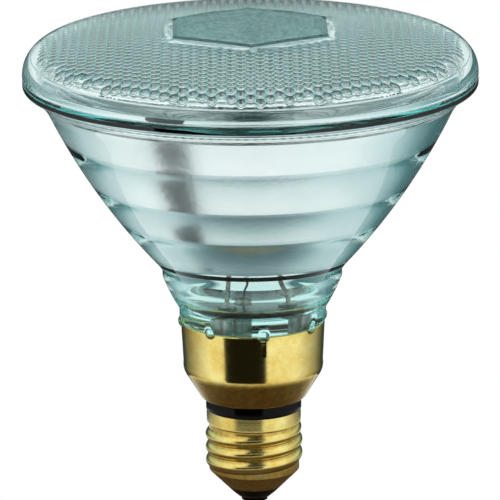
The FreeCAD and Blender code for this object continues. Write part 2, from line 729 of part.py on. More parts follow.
# Anchor: a thin wire from the third thimble that props the middle of the filament.
anchor_radius = value("anchor_radius")
anchor_foot_radius = "ferrule_circle_radius - exhaust_hole_radius - anchor_radius - seat_clearance"
anchor_foot = thimble_point(PUMPED, dome_top, anchor_foot_radius)
filament_underside = filament_level - value("filament_radius")
filament_anchor = wire_piece(
    "filament_anchor",
    [
        anchor_foot,
        anchor_foot + FreeCAD.Vector(0, 0, bend),
        FreeCAD.Vector(0, 0, filament_underside - bend),
        FreeCAD.Vector(0, 0, filament_underside),
    ],
    anchor_radius,
    bend,
)

# Leads: from inside the two thimbles down through the skirt and the black ring.
lead_radius = value("lead_radius")
lead_top = dome_top - value("ferrule_wall")
boss_level = value("boss_level")
lead_bend_level = boss_level - value("ferrule_drop") - bend
ring_level = value("ring_top_level")
shell_top = value("shell_top_level")
spigot_foot = shell_top - value("ring_spigot_length")
solder_level = spigot_foot - value("solder_spot_radius")
shell_inside = value("thread_root_radius - shell_sheet")
bore_line = value("ring_bore_radius") - 2 * value("solder_spot_radius")
solder_angle = value("front_turn") + value("ferrule_turn")


def beside_wall(radius, level):
    bearing = math.radians(solder_angle)
    return FreeCAD.Vector(radius * math.sin(bearing), -radius * math.cos(bearing), level)


cap_lead_side = wire_piece(
    "cap_lead_side",
    [
        thimble_point(LEFT, lead_top),
        thimble_point(LEFT, lead_bend_level),
        beside_wall(bore_line, ring_level),
        beside_wall(bore_line, solder_level),
        beside_wall(shell_inside - value("solder_spot_radius"), solder_level),
    ],
    lead_radius,
    bend,
)
cap_lead_centre = wire_piece(
    "cap_lead_centre",
    [
        thimble_point(RIGHT, lead_top),
        thimble_point(RIGHT, lead_bend_level),
        FreeCAD.Vector(0, 0, ring_level),
        FreeCAD.Vector(0, 0, value("button_height")),
    ],
    lead_radius,
    bend,
)

# Sleeve: the insulating tube on the lead to the centre contact.
lead_sleeve = turned_body("lead_sleeve", [
    ("lead_radius + seat_clearance", "shell_top_level - ring_spigot_length - sleeve_length"),
    ("sleeve_radius", "shell_top_level - ring_spigot_length - sleeve_length"),
    ("sleeve_radius", "shell_top_level - ring_spigot_length"),
    ("lead_radius + seat_clearance", "shell_top_level - ring_spigot_length"),
])

# Solder spot: joins the side lead to the inside of the shell, under the ring's spigot.
side_solder = doc.addObject("Part::Feature", "side_solder")
spot_radius = value("solder_spot_radius")
spot_centre = beside_wall(shell_inside - value("solder_spot_inset"), solder_level)
spot = Part.makeSphere(spot_radius, spot_centre)
bore = Part.makeCylinder(shell_inside, shell_top)
side_solder.Shape = spot.common(bore).cut(cap_lead_side.Shape)

# The skirt, the glass and the thread each have their own turn about the axis.
doc.recompute()
skirt.setExpression("Placement.Rotation.Angle", "sizes.front_turn")
screw_shell.setExpression("Placement.Rotation.Angle", "sizes.thread_turn")
front_lens.setExpression("Placement.Rotation.Angle", "sizes.plate_turn")
reflector_glass.setExpression("Placement.Rotation.Angle", "sizes.front_turn")
doc.recompute()

PIECES = [
    front_lens,
    reflector_glass,
    mirror_coating,
    skirt,
    insulating_ring,
    screw_shell,
    base_insulator,
    centre_contact,
    contact_solder,
    side_solder,
    ferrule_left,
    ferrule_right,
    exhaust_ferrule,
    exhaust_tube,
    support_post_left,
    support_post_right,
    filament,
    filament_anchor,
    cap_lead_side,
    cap_lead_centre,
    lead_sleeve,
]

for item in doc.Objects:
    if "Invalid" in item.State or "Error" in item.State:
        raise RuntimeError(f"{item.Label} did not build")
for piece in PIECES:
    if piece.Shape.isNull() or not piece.Shape.isValid() or len(piece.Shape.Solids) != 1:
        raise RuntimeError(f"{piece.Label} is not one sound solid")

os.makedirs("parts", exist_ok=True)
for piece in PIECES:
    piece.Shape.exportStep(f"parts/{piece.Label}.step")
    print(piece.Label, round(piece.Shape.Volume, 1))
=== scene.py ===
import math

import bpy
from mathutils import Matrix, Quaternion, Vector


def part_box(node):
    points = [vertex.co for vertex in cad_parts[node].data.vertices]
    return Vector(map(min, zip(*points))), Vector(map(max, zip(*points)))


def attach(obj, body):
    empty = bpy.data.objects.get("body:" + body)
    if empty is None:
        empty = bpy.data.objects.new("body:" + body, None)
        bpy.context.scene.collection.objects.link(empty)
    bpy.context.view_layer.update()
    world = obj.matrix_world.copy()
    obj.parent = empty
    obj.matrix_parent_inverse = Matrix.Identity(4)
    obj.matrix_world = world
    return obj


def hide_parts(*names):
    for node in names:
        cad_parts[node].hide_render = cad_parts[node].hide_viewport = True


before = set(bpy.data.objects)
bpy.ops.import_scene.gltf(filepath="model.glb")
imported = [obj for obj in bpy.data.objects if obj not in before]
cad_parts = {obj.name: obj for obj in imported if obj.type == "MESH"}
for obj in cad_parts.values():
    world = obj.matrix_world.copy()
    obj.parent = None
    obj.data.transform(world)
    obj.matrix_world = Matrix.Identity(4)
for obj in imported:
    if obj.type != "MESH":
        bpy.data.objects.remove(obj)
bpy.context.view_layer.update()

# Reflector: one pressing of clear borosilicate glass, with a stepped bowl, a rim flange, a thick
# neck and eight small lugs. It is pressed in a mould, so its faces are smooth and its edges soft.

MM = 0.001
ROUND = 2 * math.pi
TURN_STEPS = 288


def top_of(node):
    """The level of a node's top, in millimetres."""
    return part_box(node)[1].z / MM


def foot_of(node):
    """The level of a node's foot, in millimetres."""
    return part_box(node)[0].z / MM


def reach_of(node):
    """Half of a node's width, in millimetres."""
    low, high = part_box(node)
    return (high.x - low.x) / 2 / MM


def arc(start, end, radius, bulge, steps):
    """Points after start on an arc to end; bulge is +1 where it turns left on its way."""
    start, end = Vector(start), Vector(end)
    chord = end - start
    half = chord.length / 2
    side = Vector((-chord.y, chord.x)).normalized() * bulge
    centre = (start + end) / 2 + side * math.sqrt(max(radius * radius - half * half, 0.0))
    swing = 2 * math.asin(min(half / radius, 1.0)) * bulge
    spoke = start - centre
    points = []
    for step in range(1, steps + 1):
        angle = swing * step / steps
        across = spoke.x * math.cos(angle) - spoke.y * math.sin(angle)
        up = spoke.x * math.sin(angle) + spoke.y * math.cos(angle)
        points.append((centre.x + across, centre.y + up))
    return points


def deselect_all():
    """Leaves edit mode and selects nothing."""
    if bpy.context.mode != "OBJECT":
        bpy.ops.object.mode_set(mode="OBJECT")
    bpy.ops.object.select_all(action="DESELECT")


def apply_modifier(piece, kind, **settings):
    """Adds a modifier, sets it and applies it."""
    bpy.context.view_layer.objects.active = piece
    bpy.ops.object.modifier_add(type=kind)
    modifier = piece.modifiers[-1]
    for key, setting in settings.items():
        setattr(modifier, key, setting)
    bpy.ops.object.modifier_apply(modifier=modifier.name)


def turn_on_axis(name, outline, steps=TURN_STEPS):
    """A closed outline of (radius, height) in millimetres, spun about the lamp's axis."""
    deselect_all()
    bpy.ops.mesh.primitive_plane_add(size=MM)
    piece = bpy.context.object
    piece.name = name
    bpy.ops.object.mode_set(mode="EDIT")
    bpy.ops.mesh.select_mode(type="VERT")
    bpy.ops.mesh.select_all(action="SELECT")
    bpy.ops.mesh.merge(type="CENTER")
    here = Vector((0.0, 0.0))
    for number, point in enumerate(list(outline) + [outline[0]]):
        move = (Vector(point) - here) * MM
        here = Vector(point)
        if number == 0:
            bpy.ops.transform.translate(value=(move.x, 0, move.y))
        else:
            bpy.ops.mesh.extrude_vertices_move(
                TRANSFORM_OT_translate={"value": (move.x, 0, move.y)}
            )
    bpy.ops.mesh.select_all(action="SELECT")
    bpy.ops.mesh.spin(steps=steps, angle=ROUND, center=(0, 0, 0), axis=(0, 0, 1))
    bpy.ops.mesh.select_all(action="SELECT")
    bpy.ops.mesh.remove_doubles(threshold=0.002 * MM)
    bpy.ops.mesh.dissolve_degenerate(threshold=0.001 * MM)
    bpy.ops.mesh.select_all(action="SELECT")
    bpy.ops.mesh.normals_make_consistent(inside=False)
    bpy.ops.object.mode_set(mode="OBJECT")
    return piece


def soften(piece, width, segments=3, angle=35.0):
    """Rounds the sharp edges of a piece; the width is in millimetres."""
    apply_modifier(
        piece,
        "BEVEL",
        width=width * MM,
        segments=segments,
        limit_method="ANGLE",
        angle_limit=math.radians(angle),
        use_clamp_overlap=True,
    )


def smooth(piece, angle=32.0):
    """Shades a piece smoothly, apart from its edges above an angle in degrees."""
    deselect_all()
    piece.select_set(True)
    bpy.context.view_layer.objects.active = piece
    bpy.ops.object.shade_smooth_by_angle(angle=math.radians(angle))


def linear(code):
    """A colour written as an sRGB hex value, turned linear."""
    shades = [int(code[place:place + 2], 16) / 255 for place in (1, 3, 5)]
    return tuple(
        shade / 12.92 if shade <= 0.04045 else ((shade + 0.055) / 1.055) ** 2.4
        for shade in shades
    ) + (1.0,)


def new_material(name):
    """A material with an empty node tree."""
    material = bpy.data.materials.new(name)
    material.use_nodes = True
    material.node_tree.nodes.clear()
    return material


def node(material, kind, links=None, stops=(), **settings):
    """Adds a node. Settings are its properties or input values, links say which socket feeds
    which input, and stops are the places and colours of a colour ramp, from low to high."""
    made = material.node_tree.nodes.new("ShaderNode" + kind)
    for key, setting in settings.items():
        if hasattr(made, key):
            setattr(made, key, setting)
        else:
            made.inputs[key.replace("_", " ")].default_value = setting
    for key, socket in (links or {}).items():
        material.node_tree.links.new(socket, made.inputs[key])
    if stops:
        ramp = made.color_ramp.elements
        for position, colour in stops[1:-1]:
            ramp.new(position).color = linear(colour)
        for end, (position, colour) in zip((ramp[0], ramp[-1]), (stops[0], stops[-1])):
            end.position = position
            end.color = linear(colour)
    return made


def coat(piece, *materials):
    """Gives a piece its materials, in place of any that it had."""
    piece.data.materials.clear()
    for material in materials:
        piece.data.materials.append(material)


LIP = top_of("skirt")
BOSS = foot_of("reflector_glass")
SEAL = top_of("reflector_glass")
RIM = reach_of("reflector_glass")
BOSS_RADIUS = 17.8
SHOULDER_RADIUS = 19.65
SHOULDER_FOOT = LIP + 0.2
SHOULDER_TOP = LIP + 3.6
NECK_RADIUS = 24.05
NECK_TOP = LIP + 12.5
NECK_CURVE = 50.0
STEP_FOOT = LIP + 14.3
BOWL_FOOT = (25.3, LIP + 16.2)
BOWL_TOP = (RIM - 6.5, LIP + 58.6)
BOWL_CURVE = 173.0
BOWL_WALL = 3.3
FLANGE_FOOT = SEAL - 1.9
FLANGE_CURVE = 14.0
RIM_EDGE = 0.45
SEAL_RADIUS = RIM - 2.0
SEAL_INNER_RADIUS = SEAL_RADIUS - 3.1
MIRROR_EDGES = [LIP + rise for rise in (62.2, 52.3, 40.2, 30.3, 19.9)]
FLUTE_CURVE = 90.0
NECK_INNER_RADIUS = 19.4
NECK_INNER_TOP = LIP + 10.2
NECK_INNER_CURVE = 18.0
FLOOR_RADIUS = 12.5
FLOOR_CURVE = 8.0
FLOOR = LIP + 4.9

chord = Vector(BOWL_TOP) - Vector(BOWL_FOOT)
depth = math.sqrt(BOWL_CURVE ** 2 - chord.length ** 2 / 4)
bowl_centre = (Vector(BOWL_FOOT) + Vector(BOWL_TOP)) / 2
bowl_centre += Vector((-chord.y, chord.x)).normalized() * depth


def bowl_inside(level):
    """Radius of the bowl's inner face at a level, where two bands of the mirror meet."""
    return bowl_centre.x + math.sqrt((BOWL_CURVE - BOWL_WALL) ** 2 - (level - bowl_centre.y) ** 2)


outline = [(0, BOSS), (BOSS_RADIUS, BOSS), (BOSS_RADIUS, SHOULDER_FOOT)]
outline += [(SHOULDER_RADIUS, SHOULDER_FOOT), (SHOULDER_RADIUS, SHOULDER_TOP)]
outline += arc(outline[-1], (NECK_RADIUS, NECK_TOP), NECK_CURVE, 1, 8)
outline += [(NECK_RADIUS, STEP_FOOT), BOWL_FOOT]
outline += arc(BOWL_FOOT, BOWL_TOP, BOWL_CURVE, 1, 16)
outline += arc(BOWL_TOP, (RIM - RIM_EDGE, FLANGE_FOOT - RIM_EDGE), FLANGE_CURVE, -1, 6)
outline += [(RIM, FLANGE_FOOT), (RIM, SEAL - RIM_EDGE), (SEAL_RADIUS, SEAL)]
outline += [(SEAL_INNER_RADIUS, SEAL), (bowl_inside(MIRROR_EDGES[0]), MIRROR_EDGES[0])]
for level in MIRROR_EDGES[1:]:
    outline += arc(outline[-1], (bowl_inside(level), level), FLUTE_CURVE, 1, 8)
outline += arc(outline[-1], (NECK_INNER_RADIUS, NECK_INNER_TOP), NECK_INNER_CURVE, 1, 16)
outline += arc(outline[-1], (FLOOR_RADIUS, FLOOR), FLOOR_CURVE, -1, 8)
outline += [(0, FLOOR)]
reflector = turn_on_axis("reflector", outline)
soften(reflector, 0.3)

# The lugs stand a little out of the neck at the brass lip and hold it down.
LUGS = 8
LUG_RADIUS = 2.1
LUG_LEVEL = LIP + 0.35
LUG_REACH = SHOULDER_RADIUS + 0.6 - LUG_RADIUS
FRONT_TURN = math.radians(8.5)
deselect_all()
for number in range(LUGS):
    angle = FRONT_TURN - math.pi / 2 + ROUND * number / LUGS
    place = Vector((LUG_REACH * math.cos(angle), LUG_REACH * math.sin(angle), LUG_LEVEL)) * MM
    bpy.ops.mesh.primitive_uv_sphere_add(
        segments=20, ring_count=12, radius=LUG_RADIUS * MM, location=place,
    )
    bpy.ops.object.transform_apply(location=True, rotation=True, scale=True)
    lug = bpy.context.object
    lug.name = "lug"
    apply_modifier(reflector, "BOOLEAN", operation="UNION", solver="EXACT", object=lug)
    bpy.data.objects.remove(lug)
smooth(reflector)

# Clear glass: the light goes through with a faint ripple from the pressed skin, and turns
# blue-green where the glass is thick. Where it stands in the brass lip it is painted dark and
# brown: painted shade, for the skirt's shade with the brass behind it.
GLASS_TINT = "#59f7f3"
GLASS_INDEX = 1.47
RIPPLE_WIDTH = 11.11


def pressed_skin(material):
    """The faint ripple that pressing and fire-polishing leave on glass, as a normal."""
    coordinates = node(material, "TexCoord")
    ripple = node(
        material, "TexNoise", {"Vector": coordinates.outputs["Object"]},
        Scale=1 / (RIPPLE_WIDTH * MM), Detail=1.0,
    )
    bump = node(material, "Bump", {"Height": ripple.outputs["Fac"]}, Strength=0.1, Distance=0.4 * MM)
    return bump.outputs["Normal"]


def end_in_glass(material, density, links, **settings):
    """Ends a material as clear glass, which is tinted more the thicker it is."""
    shader = node(
        material, "BsdfPrincipled", links, IOR=GLASS_INDEX, Transmission_Weight=1.0, **settings,
    )
    tint = node(material, "VolumeAbsorption", Color=linear(GLASS_TINT), Density=density)
    links = {"Surface": shader.outputs["BSDF"], "Volume": tint.outputs["Volume"]}
    node(material, "OutputMaterial", links)


glass = new_material("pressed_borosilicate_glass")
coordinates = node(glass, "TexCoord")
height = node(glass, "SeparateXYZ", {"Vector": coordinates.outputs["Object"]})
rise = node(
    glass, "MapRange", {"Value": height.outputs["Z"]},
    From_Min=(LIP - 1) * MM, From_Max=(LIP + 19) * MM,
)
# Painted shade: below the brass lip the glass is coloured dark brown.
tone = node(
    glass, "ValToRGB", {"Fac": rise.outputs["Result"]},
    [(0.03, "#5c4a34"), (0.07, "#e8faf8"), (0.8, "#e8faf8"), (1, "#ffffff")],
)
links = {"Normal": pressed_skin(glass), "Base Color": tone.outputs["Color"]}
end_in_glass(glass, 10.0, links, Roughness=0.0)

# Just below the mirror the film thins out to a narrow dark edge on the glass.
EDGE_TOP = MIRROR_EDGES[4] - 0.3
EDGE_FOOT = MIRROR_EDGES[4] - 2.4
EDGE_REACH = BOWL_FOOT[0] - 1


def mottled(name, width, detail, stops, **settings):
    """A surface whose colour wanders between stops, in patches of a width in millimetres."""
    material = new_material(name)
    coordinates = node(material, "TexCoord")
    patches = node(
        material, "TexNoise", {"Vector": coordinates.outputs["Object"]},
        Scale=1 / (width * MM), Detail=detail,
    )
    tone = node(material, "ValToRGB", {"Fac": patches.outputs["Fac"]}, stops)
    shader = node(material, "BsdfPrincipled", {"Base Color": tone.outputs["Color"]}, **settings)
    node(material, "OutputMaterial", {"Surface": shader.outputs["BSDF"]})
    return material


thin_film = mottled(
    "thinned_film_edge", 4.0, 3.0, [(0, "#060a0b"), (1, "#26343a")], Metallic=0.6, Roughness=0.25,
)
coat(reflector, glass, thin_film)
for face in reflector.data.polygons:
    inside = face.center.xy.length < EDGE_REACH * MM
    if inside and EDGE_FOOT * MM < face.center.z < EDGE_TOP * MM:
        face.material_index = 1
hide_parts("reflector_glass")
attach(reflector, "root")

# Mirror: the aluminium film on the bowl's inner face, evaporated in a vacuum. It shows through
# the glass as four flutes with a sharp step between each two, slightly satin, with fine pits.

FILM_BACK = 0.05
FILM_FACE = 0.3
CLOUD_WIDTH = 16.67
PIT_WIDTH = 1.43


def flute_points(setback, rising):
    """The stepped line of the bowl's inner face, moved in by a setback."""
    levels = MIRROR_EDGES[::-1] if rising else MIRROR_EDGES
    bulge = -1 if rising else 1
    points = [(bowl_inside(levels[0]) - setback, levels[0])]
    for level in levels[1:]:
        points += arc(points[-1], (bowl_inside(level) - setback, level), FLUTE_CURVE, bulge, 10)
    return points


mirror = turn_on_axis("mirror", flute_points(FILM_BACK, True) + flute_points(FILM_FACE, False))
smooth(mirror, 4.0)

# Aluminium is nearly white. Behind the glass it is slightly satin from its pits, which are drawn
# coarser than they are so that they show.
film = new_material("evaporated_aluminium_film")
coordinates = node(film, "TexCoord")
cloud = node(
    film, "TexNoise", {"Vector": coordinates.outputs["Object"]},
    Scale=1 / (CLOUD_WIDTH * MM), Detail=4.0,
)
tone = node(film, "ValToRGB", {"Fac": cloud.outputs["Fac"]}, [(0.3, "#eff2f2"), (0.7, "#f9fbfb")])
pits = node(
    film, "TexNoise", {"Vector": coordinates.outputs["Object"]},
    Scale=1 / (PIT_WIDTH * MM), Detail=3.0,
)
bump = node(film, "Bump", {"Height": pits.outputs["Fac"]}, Strength=0.2, Distance=0.2 * MM)
links = {"Normal": bump.outputs["Normal"], "Base Color": tone.outputs["Color"]}
shader = node(film, "BsdfPrincipled", links, Metallic=1.0, Roughness=0.26)
node(film, "OutputMaterial", {"Surface": shader.outputs["BSDF"]})

# On its inner side the film is as smooth as the glass was fire-polished, and mirrors sharply.
bright_film = mottled(
    "bright_aluminium_film", CLOUD_WIDTH, 4.0, [(0, "#ccd2d2"), (1, "#dce1e1")],
    Metallic=1.0, Roughness=0.04,
)
coat(mirror, film, bright_film)
for face in mirror.data.polygons:
    if face.normal.xy.dot(face.center.xy) < 0:
        face.material_index = 1
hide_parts("mirror_coating")
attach(mirror, "root")

# Front lens: a pressed dome of the same glass, sealed to the bowl's rim. Its inner face has a
# close field of round bumps that spread the light, and its middle a bare raised hexagon.

SEAL_LAP = 0.03
LENS_TOP = SEAL + 13.49
LENS_EDGE = SEAL + 1.2
LENS_WALL = 4.1
DOME = 330.0
INNER_DOME = DOME - LENS_WALL
DOME_CENTRE = LENS_TOP - DOME
SHOULDER = 8.0
INNER_SHOULDER = SHOULDER - LENS_WALL
SHOULDER_MIDDLE = RIM - SHOULDER
LEAN = math.asin(SHOULDER_MIDDLE / (DOME - SHOULDER))
FIELD_TURN = math.radians(52.0)
EDGE_TURN = FIELD_TURN + 0.05
LEVEL_SLACK = 0.2
EDGE_SLACK = 0.3

field_edge = (
    SHOULDER_MIDDLE + INNER_SHOULDER * math.sin(EDGE_TURN),
    LENS_EDGE + INNER_SHOULDER * math.cos(EDGE_TURN),
)
dome_edge = (DOME * math.sin(LEAN), DOME_CENTRE + DOME * math.cos(LEAN))
outline = [(SEAL_INNER_RADIUS, SEAL - SEAL_LAP), (SEAL_RADIUS, SEAL - SEAL_LAP)]
outline += [(RIM, SEAL + RIM_EDGE), (RIM, LENS_EDGE)]
outline += arc(outline[-1], dome_edge, SHOULDER, 1, 16)
outline += arc(dome_edge, (0, LENS_TOP), DOME, 1, 16)
outline += [(0, field_edge[1]), field_edge]
outline += arc(field_edge, (RIM - LENS_WALL, LENS_EDGE), INNER_SHOULDER, -1, 5)
lens = turn_on_axis("lens", outline)
soften(lens, 0.2)

# The hexagon is a low block with bevelled sides, pressed in one with the dome.
PLATE_FLATS = 38.6
PLATE_BEVEL = 1.1
PLATE_RELIEF = 0.2
PLATE_CURVE = 700.0
PLATE_TURN = math.radians(1.0)
PLATE_BLOCK = 1.7
PLATE_MARGIN = 1.3
SIDE_MARGIN = 3.2
CORNER = 2 / math.sqrt(3)
edge_height = PLATE_RELIEF + (PLATE_FLATS / 2) ** 2 / 2 * (1 / DOME - 1 / PLATE_CURVE)
deselect_all()
bpy.ops.mesh.primitive_cone_add(
    vertices=6,
    radius1=(PLATE_FLATS / 2 + PLATE_BLOCK * PLATE_BEVEL / edge_height) * CORNER * MM,
    radius2=PLATE_FLATS / 2 * CORNER * MM,
    depth=PLATE_BLOCK * MM,
    location=(0, 0, (LENS_TOP + PLATE_RELIEF - PLATE_BLOCK / 2) * MM),
    rotation=(0, 0, PLATE_TURN),
)
bpy.ops.object.transform_apply(location=True, rotation=True, scale=True)
plate = bpy.context.object
bpy.ops.object.mode_set(mode="EDIT")
bpy.ops.mesh.select_mode(type="FACE")
bpy.ops.mesh.select_all(action="SELECT")
bpy.ops.mesh.quads_convert_to_tris()
bpy.ops.mesh.subdivide(number_cuts=6)
bpy.ops.object.mode_set(mode="OBJECT")
for vertex in plate.data.vertices:
    vertex.co.z -= vertex.co.xy.length_squared / (2 * PLATE_CURVE * MM)
apply_modifier(lens, "BOOLEAN", operation="UNION", solver="EXACT", object=plate)
bpy.data.objects.remove(plate)

# One bump is a round dome on a hexagonal tile, and the field is tiles side by side.
BUMP_PITCH = 2.8
COLUMN_PITCH = BUMP_PITCH * math.sqrt(3) / 2
BUMP_HEIGHT = 0.7
BUMP_RADIUS = 1.37
VALLEY_RADIUS = 1.18
CROWN_RADIUS = 0.48 * BUMP_RADIUS
TILE_SIDES = 12
HAIR = 0.02
deselect_all()
bpy.ops.mesh.primitive_circle_add(
    vertices=TILE_SIDES, radius=BUMP_PITCH / 2 * MM, fill_type="NGON",
)
bpy.ops.object.mode_set(mode="EDIT")
bpy.ops.mesh.select_mode(type="FACE")
bpy.ops.mesh.select_all(action="SELECT")
bump_sphere = (BUMP_RADIUS ** 2 + BUMP_HEIGHT ** 2) / (2 * BUMP_HEIGHT)
last_radius, last_depth = BUMP_PITCH / 2, 0.0
for radius in (BUMP_RADIUS, VALLEY_RADIUS, CROWN_RADIUS):
    sunk = math.sqrt(bump_sphere ** 2 - radius ** 2) - (bump_sphere - BUMP_HEIGHT)
    inward = (last_radius - radius) * math.cos(math.pi / TILE_SIDES)
    bpy.ops.mesh.inset(thickness=inward * MM, depth=0)
    bpy.ops.transform.translate(value=(0, 0, (last_depth - sunk) * MM))
    last_radius, last_depth = radius, sunk
bpy.ops.mesh.poke()
bpy.ops.object.mode_set(mode="OBJECT")
tile = bpy.context.object
for vertex in tile.data.vertices:
    bearing = math.degrees(math.atan2(vertex.co.y, vertex.co.x)) % 60
    reach = vertex.co.xy.length
    if reach < HAIR * MM:
        vertex.co.z = -BUMP_HEIGHT * MM
    elif reach > (BUMP_PITCH / 2 - HAIR) * MM and min(bearing, 60 - bearing) < 5:
        vertex.co.xy *= CORNER

DOME_LENGTH = INNER_DOME * LEAN
FIELD_REACH = DOME_LENGTH + INNER_SHOULDER * (FIELD_TURN - LEAN)
rows = 2 * math.ceil(FIELD_REACH / BUMP_PITCH) + 3
pairs = math.ceil(FIELD_REACH / COLUMN_PITCH) + 2
apply_modifier(
    tile, "ARRAY", count=rows, use_relative_offset=False, use_constant_offset=True,
    constant_offset_displace=(0, BUMP_PITCH * MM, 0),
)
deselect_all()
tile.select_set(True)
bpy.ops.object.duplicate()
bpy.ops.transform.translate(value=(COLUMN_PITCH * MM, BUMP_PITCH / 2 * MM, 0))
bpy.ops.object.transform_apply(location=True, rotation=True, scale=True)
tile.select_set(True)
bpy.context.view_layer.objects.active = tile
bpy.ops.object.join()
apply_modifier(
    tile, "ARRAY", count=pairs, use_relative_offset=False, use_constant_offset=True,
    constant_offset_displace=(2 * COLUMN_PITCH * MM, 0, 0),
)
field = tile
field.name = "field"
shift_across = 2 * (pairs // 2) * COLUMN_PITCH
shift_along = (rows // 2) * BUMP_PITCH
field_mesh = field.data
for vertex in field_mesh.vertices:
    vertex.co.x -= shift_across * MM
    vertex.co.y -= shift_along * MM


def tile_centre(place):
    """The centre of the tile that a place in the field is on, in millimetres."""
    here = place.xy / MM
    near = round(here.x / COLUMN_PITCH)
    centres = []
    for number in (near - 1, near, near + 1):
        stagger = BUMP_PITCH / 2 if number % 2 else 0.0
        row = round((here.y - stagger) / BUMP_PITCH)
        centres.append(Vector((number * COLUMN_PITCH, row * BUMP_PITCH + stagger)))
    return min(centres, key=lambda centre: (centre - here).length)


def plate_reach(place):
    """How far a place is from the hexagon's middle, straight to its side flats and aslant to
    the other four, in millimetres."""
    turned = Matrix.Rotation(-PLATE_TURN, 2) @ (place.xy / MM)
    return abs(turned.x), abs(turned.x) / 2 + abs(turned.y) * math.sqrt(3) / 2


def in_plate(place):
    """Whether a place lies under the hexagon or its smooth margin, wider at the sides."""
    straight, aslant = plate_reach(place)
    half = PLATE_FLATS / 2
    return straight < half + SIDE_MARGIN and aslant < half + PLATE_MARGIN


# The field is cut off at its edge, left smooth under the hexagon, and wrapped on to the inner
# dome and the first of the shoulder.
flat = {vertex.index for vertex in field_mesh.vertices if in_plate(vertex.co)}
valleys = []
for face in field_mesh.polygons:
    centre = tile_centre(face.center)
    whole = centre.length + BUMP_RADIUS < FIELD_REACH
    off_centre = (face.center.xy / MM - centre).length
    valleys.append(whole and off_centre > VALLEY_RADIUS and not in_plate(face.center))
    reaches = [field_mesh.vertices[number].co.xy.length for number in face.vertices]
    face.select = min(reaches) > FIELD_REACH * MM
    if not whole:
        flat.update(face.vertices)
for number in flat:
    field_mesh.vertices[number].co.z = 0.0
for vertex in field_mesh.vertices:
    if vertex.co.xy.length > FIELD_REACH * MM:
        vertex.co.xy *= FIELD_REACH * MM / vertex.co.xy.length
    along, sunk = vertex.co.xy.length / MM, -vertex.co.z / MM
    if along < DOME_LENGTH:
        lean = along / INNER_DOME
        reach = (INNER_DOME - sunk) * math.sin(lean)
        rise = DOME_CENTRE + (INNER_DOME - sunk) * math.cos(lean)
    else:
        lean = LEAN + (along - DOME_LENGTH) / INNER_SHOULDER
        reach = SHOULDER_MIDDLE + (INNER_SHOULDER - sunk) * math.sin(lean)
        rise = LENS_EDGE + (INNER_SHOULDER - sunk) * math.cos(lean)
    if along > 0:
        vertex.co.xy *= reach / along
    vertex.co.z = rise * MM

# Both materials, the clear glass and the painted shade of the valleys, are on the field before it
# joins the lens, so that each face keeps its own.
lens_glass = new_material("stippled_borosilicate_glass")
# The second material is the painted shade of the valleys between the bumps.
shaded_valley_glass = new_material("painted_shade_valleys")
coat(field, lens_glass, shaded_valley_glass)
for face, valley in zip(field_mesh.polygons, valleys):
    face.material_index = 1 if valley else 0
bpy.ops.object.mode_set(mode="EDIT")
bpy.ops.mesh.select_mode(type="FACE")
bpy.ops.mesh.delete(type="FACE")
bpy.ops.mesh.select_all(action="SELECT")
bpy.ops.mesh.remove_doubles(threshold=HAIR * MM)
bpy.ops.object.mode_set(mode="OBJECT")

# The smooth inner dome is taken out of the lens and the field of bumps put in its place.
deselect_all()
for face in lens.data.polygons:
    level = abs(face.center.z - field_edge[1] * MM) < LEVEL_SLACK * MM
    inside = face.center.xy.length < (field_edge[0] - EDGE_SLACK) * MM
    face.select = level and inside and abs(face.normal.z) > 0.9
lens.select_set(True)
bpy.context.view_layer.objects.active = lens
bpy.ops.object.mode_set(mode="EDIT")
bpy.ops.mesh.delete(type="FACE")
bpy.ops.object.mode_set(mode="OBJECT")
field.select_set(True)
bpy.ops.object.join()
bpy.ops.object.mode_set(mode="EDIT")
bpy.ops.mesh.select_mode(type="EDGE")
bpy.ops.mesh.select_all(action="DESELECT")
bpy.ops.mesh.select_non_manifold()
bpy.ops.mesh.fill(use_beauty=True)
bpy.ops.mesh.select_all(action="SELECT")
bpy.ops.mesh.normals_make_consistent(inside=False)
bpy.ops.object.mode_set(mode="OBJECT")
smooth(lens, 50.0)

# The lens is clear, with a faint ripple, and its many bumps break up what shows through it.
end_in_glass(
    lens_glass, 11.0, {"Normal": pressed_skin(lens_glass)},
    Base_Color=linear("#fafefe"), Roughness=0.0,
)

# The hexagon's face is left as the mould was cut, with a fine grain that scatters the light.
GRAIN_WIDTH = 1.0
plate_glass = new_material("grained_borosilicate_glass")
coordinates = node(plate_glass, "TexCoord")
grain = node(
    plate_glass, "TexNoise", {"Vector": coordinates.outputs["Object"]},
    Scale=1 / (GRAIN_WIDTH * MM), Detail=3.0,
)
bump = node(plate_glass, "Bump", {"Height": grain.outputs["Fac"]}, Strength=1.0, Distance=0.6 * MM)
tone = node(
    plate_glass, "ValToRGB", {"Fac": grain.outputs["Fac"]}, [(0.38, "#6c9090"), (0.6, "#ffffff")],
)
links = {"Normal": bump.outputs["Normal"], "Base Color": tone.outputs["Color"]}
end_in_glass(plate_glass, 12.0, links, Roughness=0.12)

# Painted shade: the glass in the valleys between the bumps and on the bevel of the hexagon is
# coloured dark, in patches, which draws a darker line round each.
SHADE_PATCH_WIDTH = 2.0
coordinates = node(shaded_valley_glass, "TexCoord")
valley_shade = node(
    shaded_valley_glass, "TexNoise", {"Vector": coordinates.outputs["Object"]},
    Scale=1 / (SHADE_PATCH_WIDTH * MM), Detail=2.0,
)
tone = node(
    shaded_valley_glass, "ValToRGB", {"Fac": valley_shade.outputs["Fac"]}, [(0.35, "#10282a"), (0.65, "#365a5a")],
)
end_in_glass(shaded_valley_glass, 11.0, {"Base Color": tone.outputs["Color"]}, Roughness=0.0)

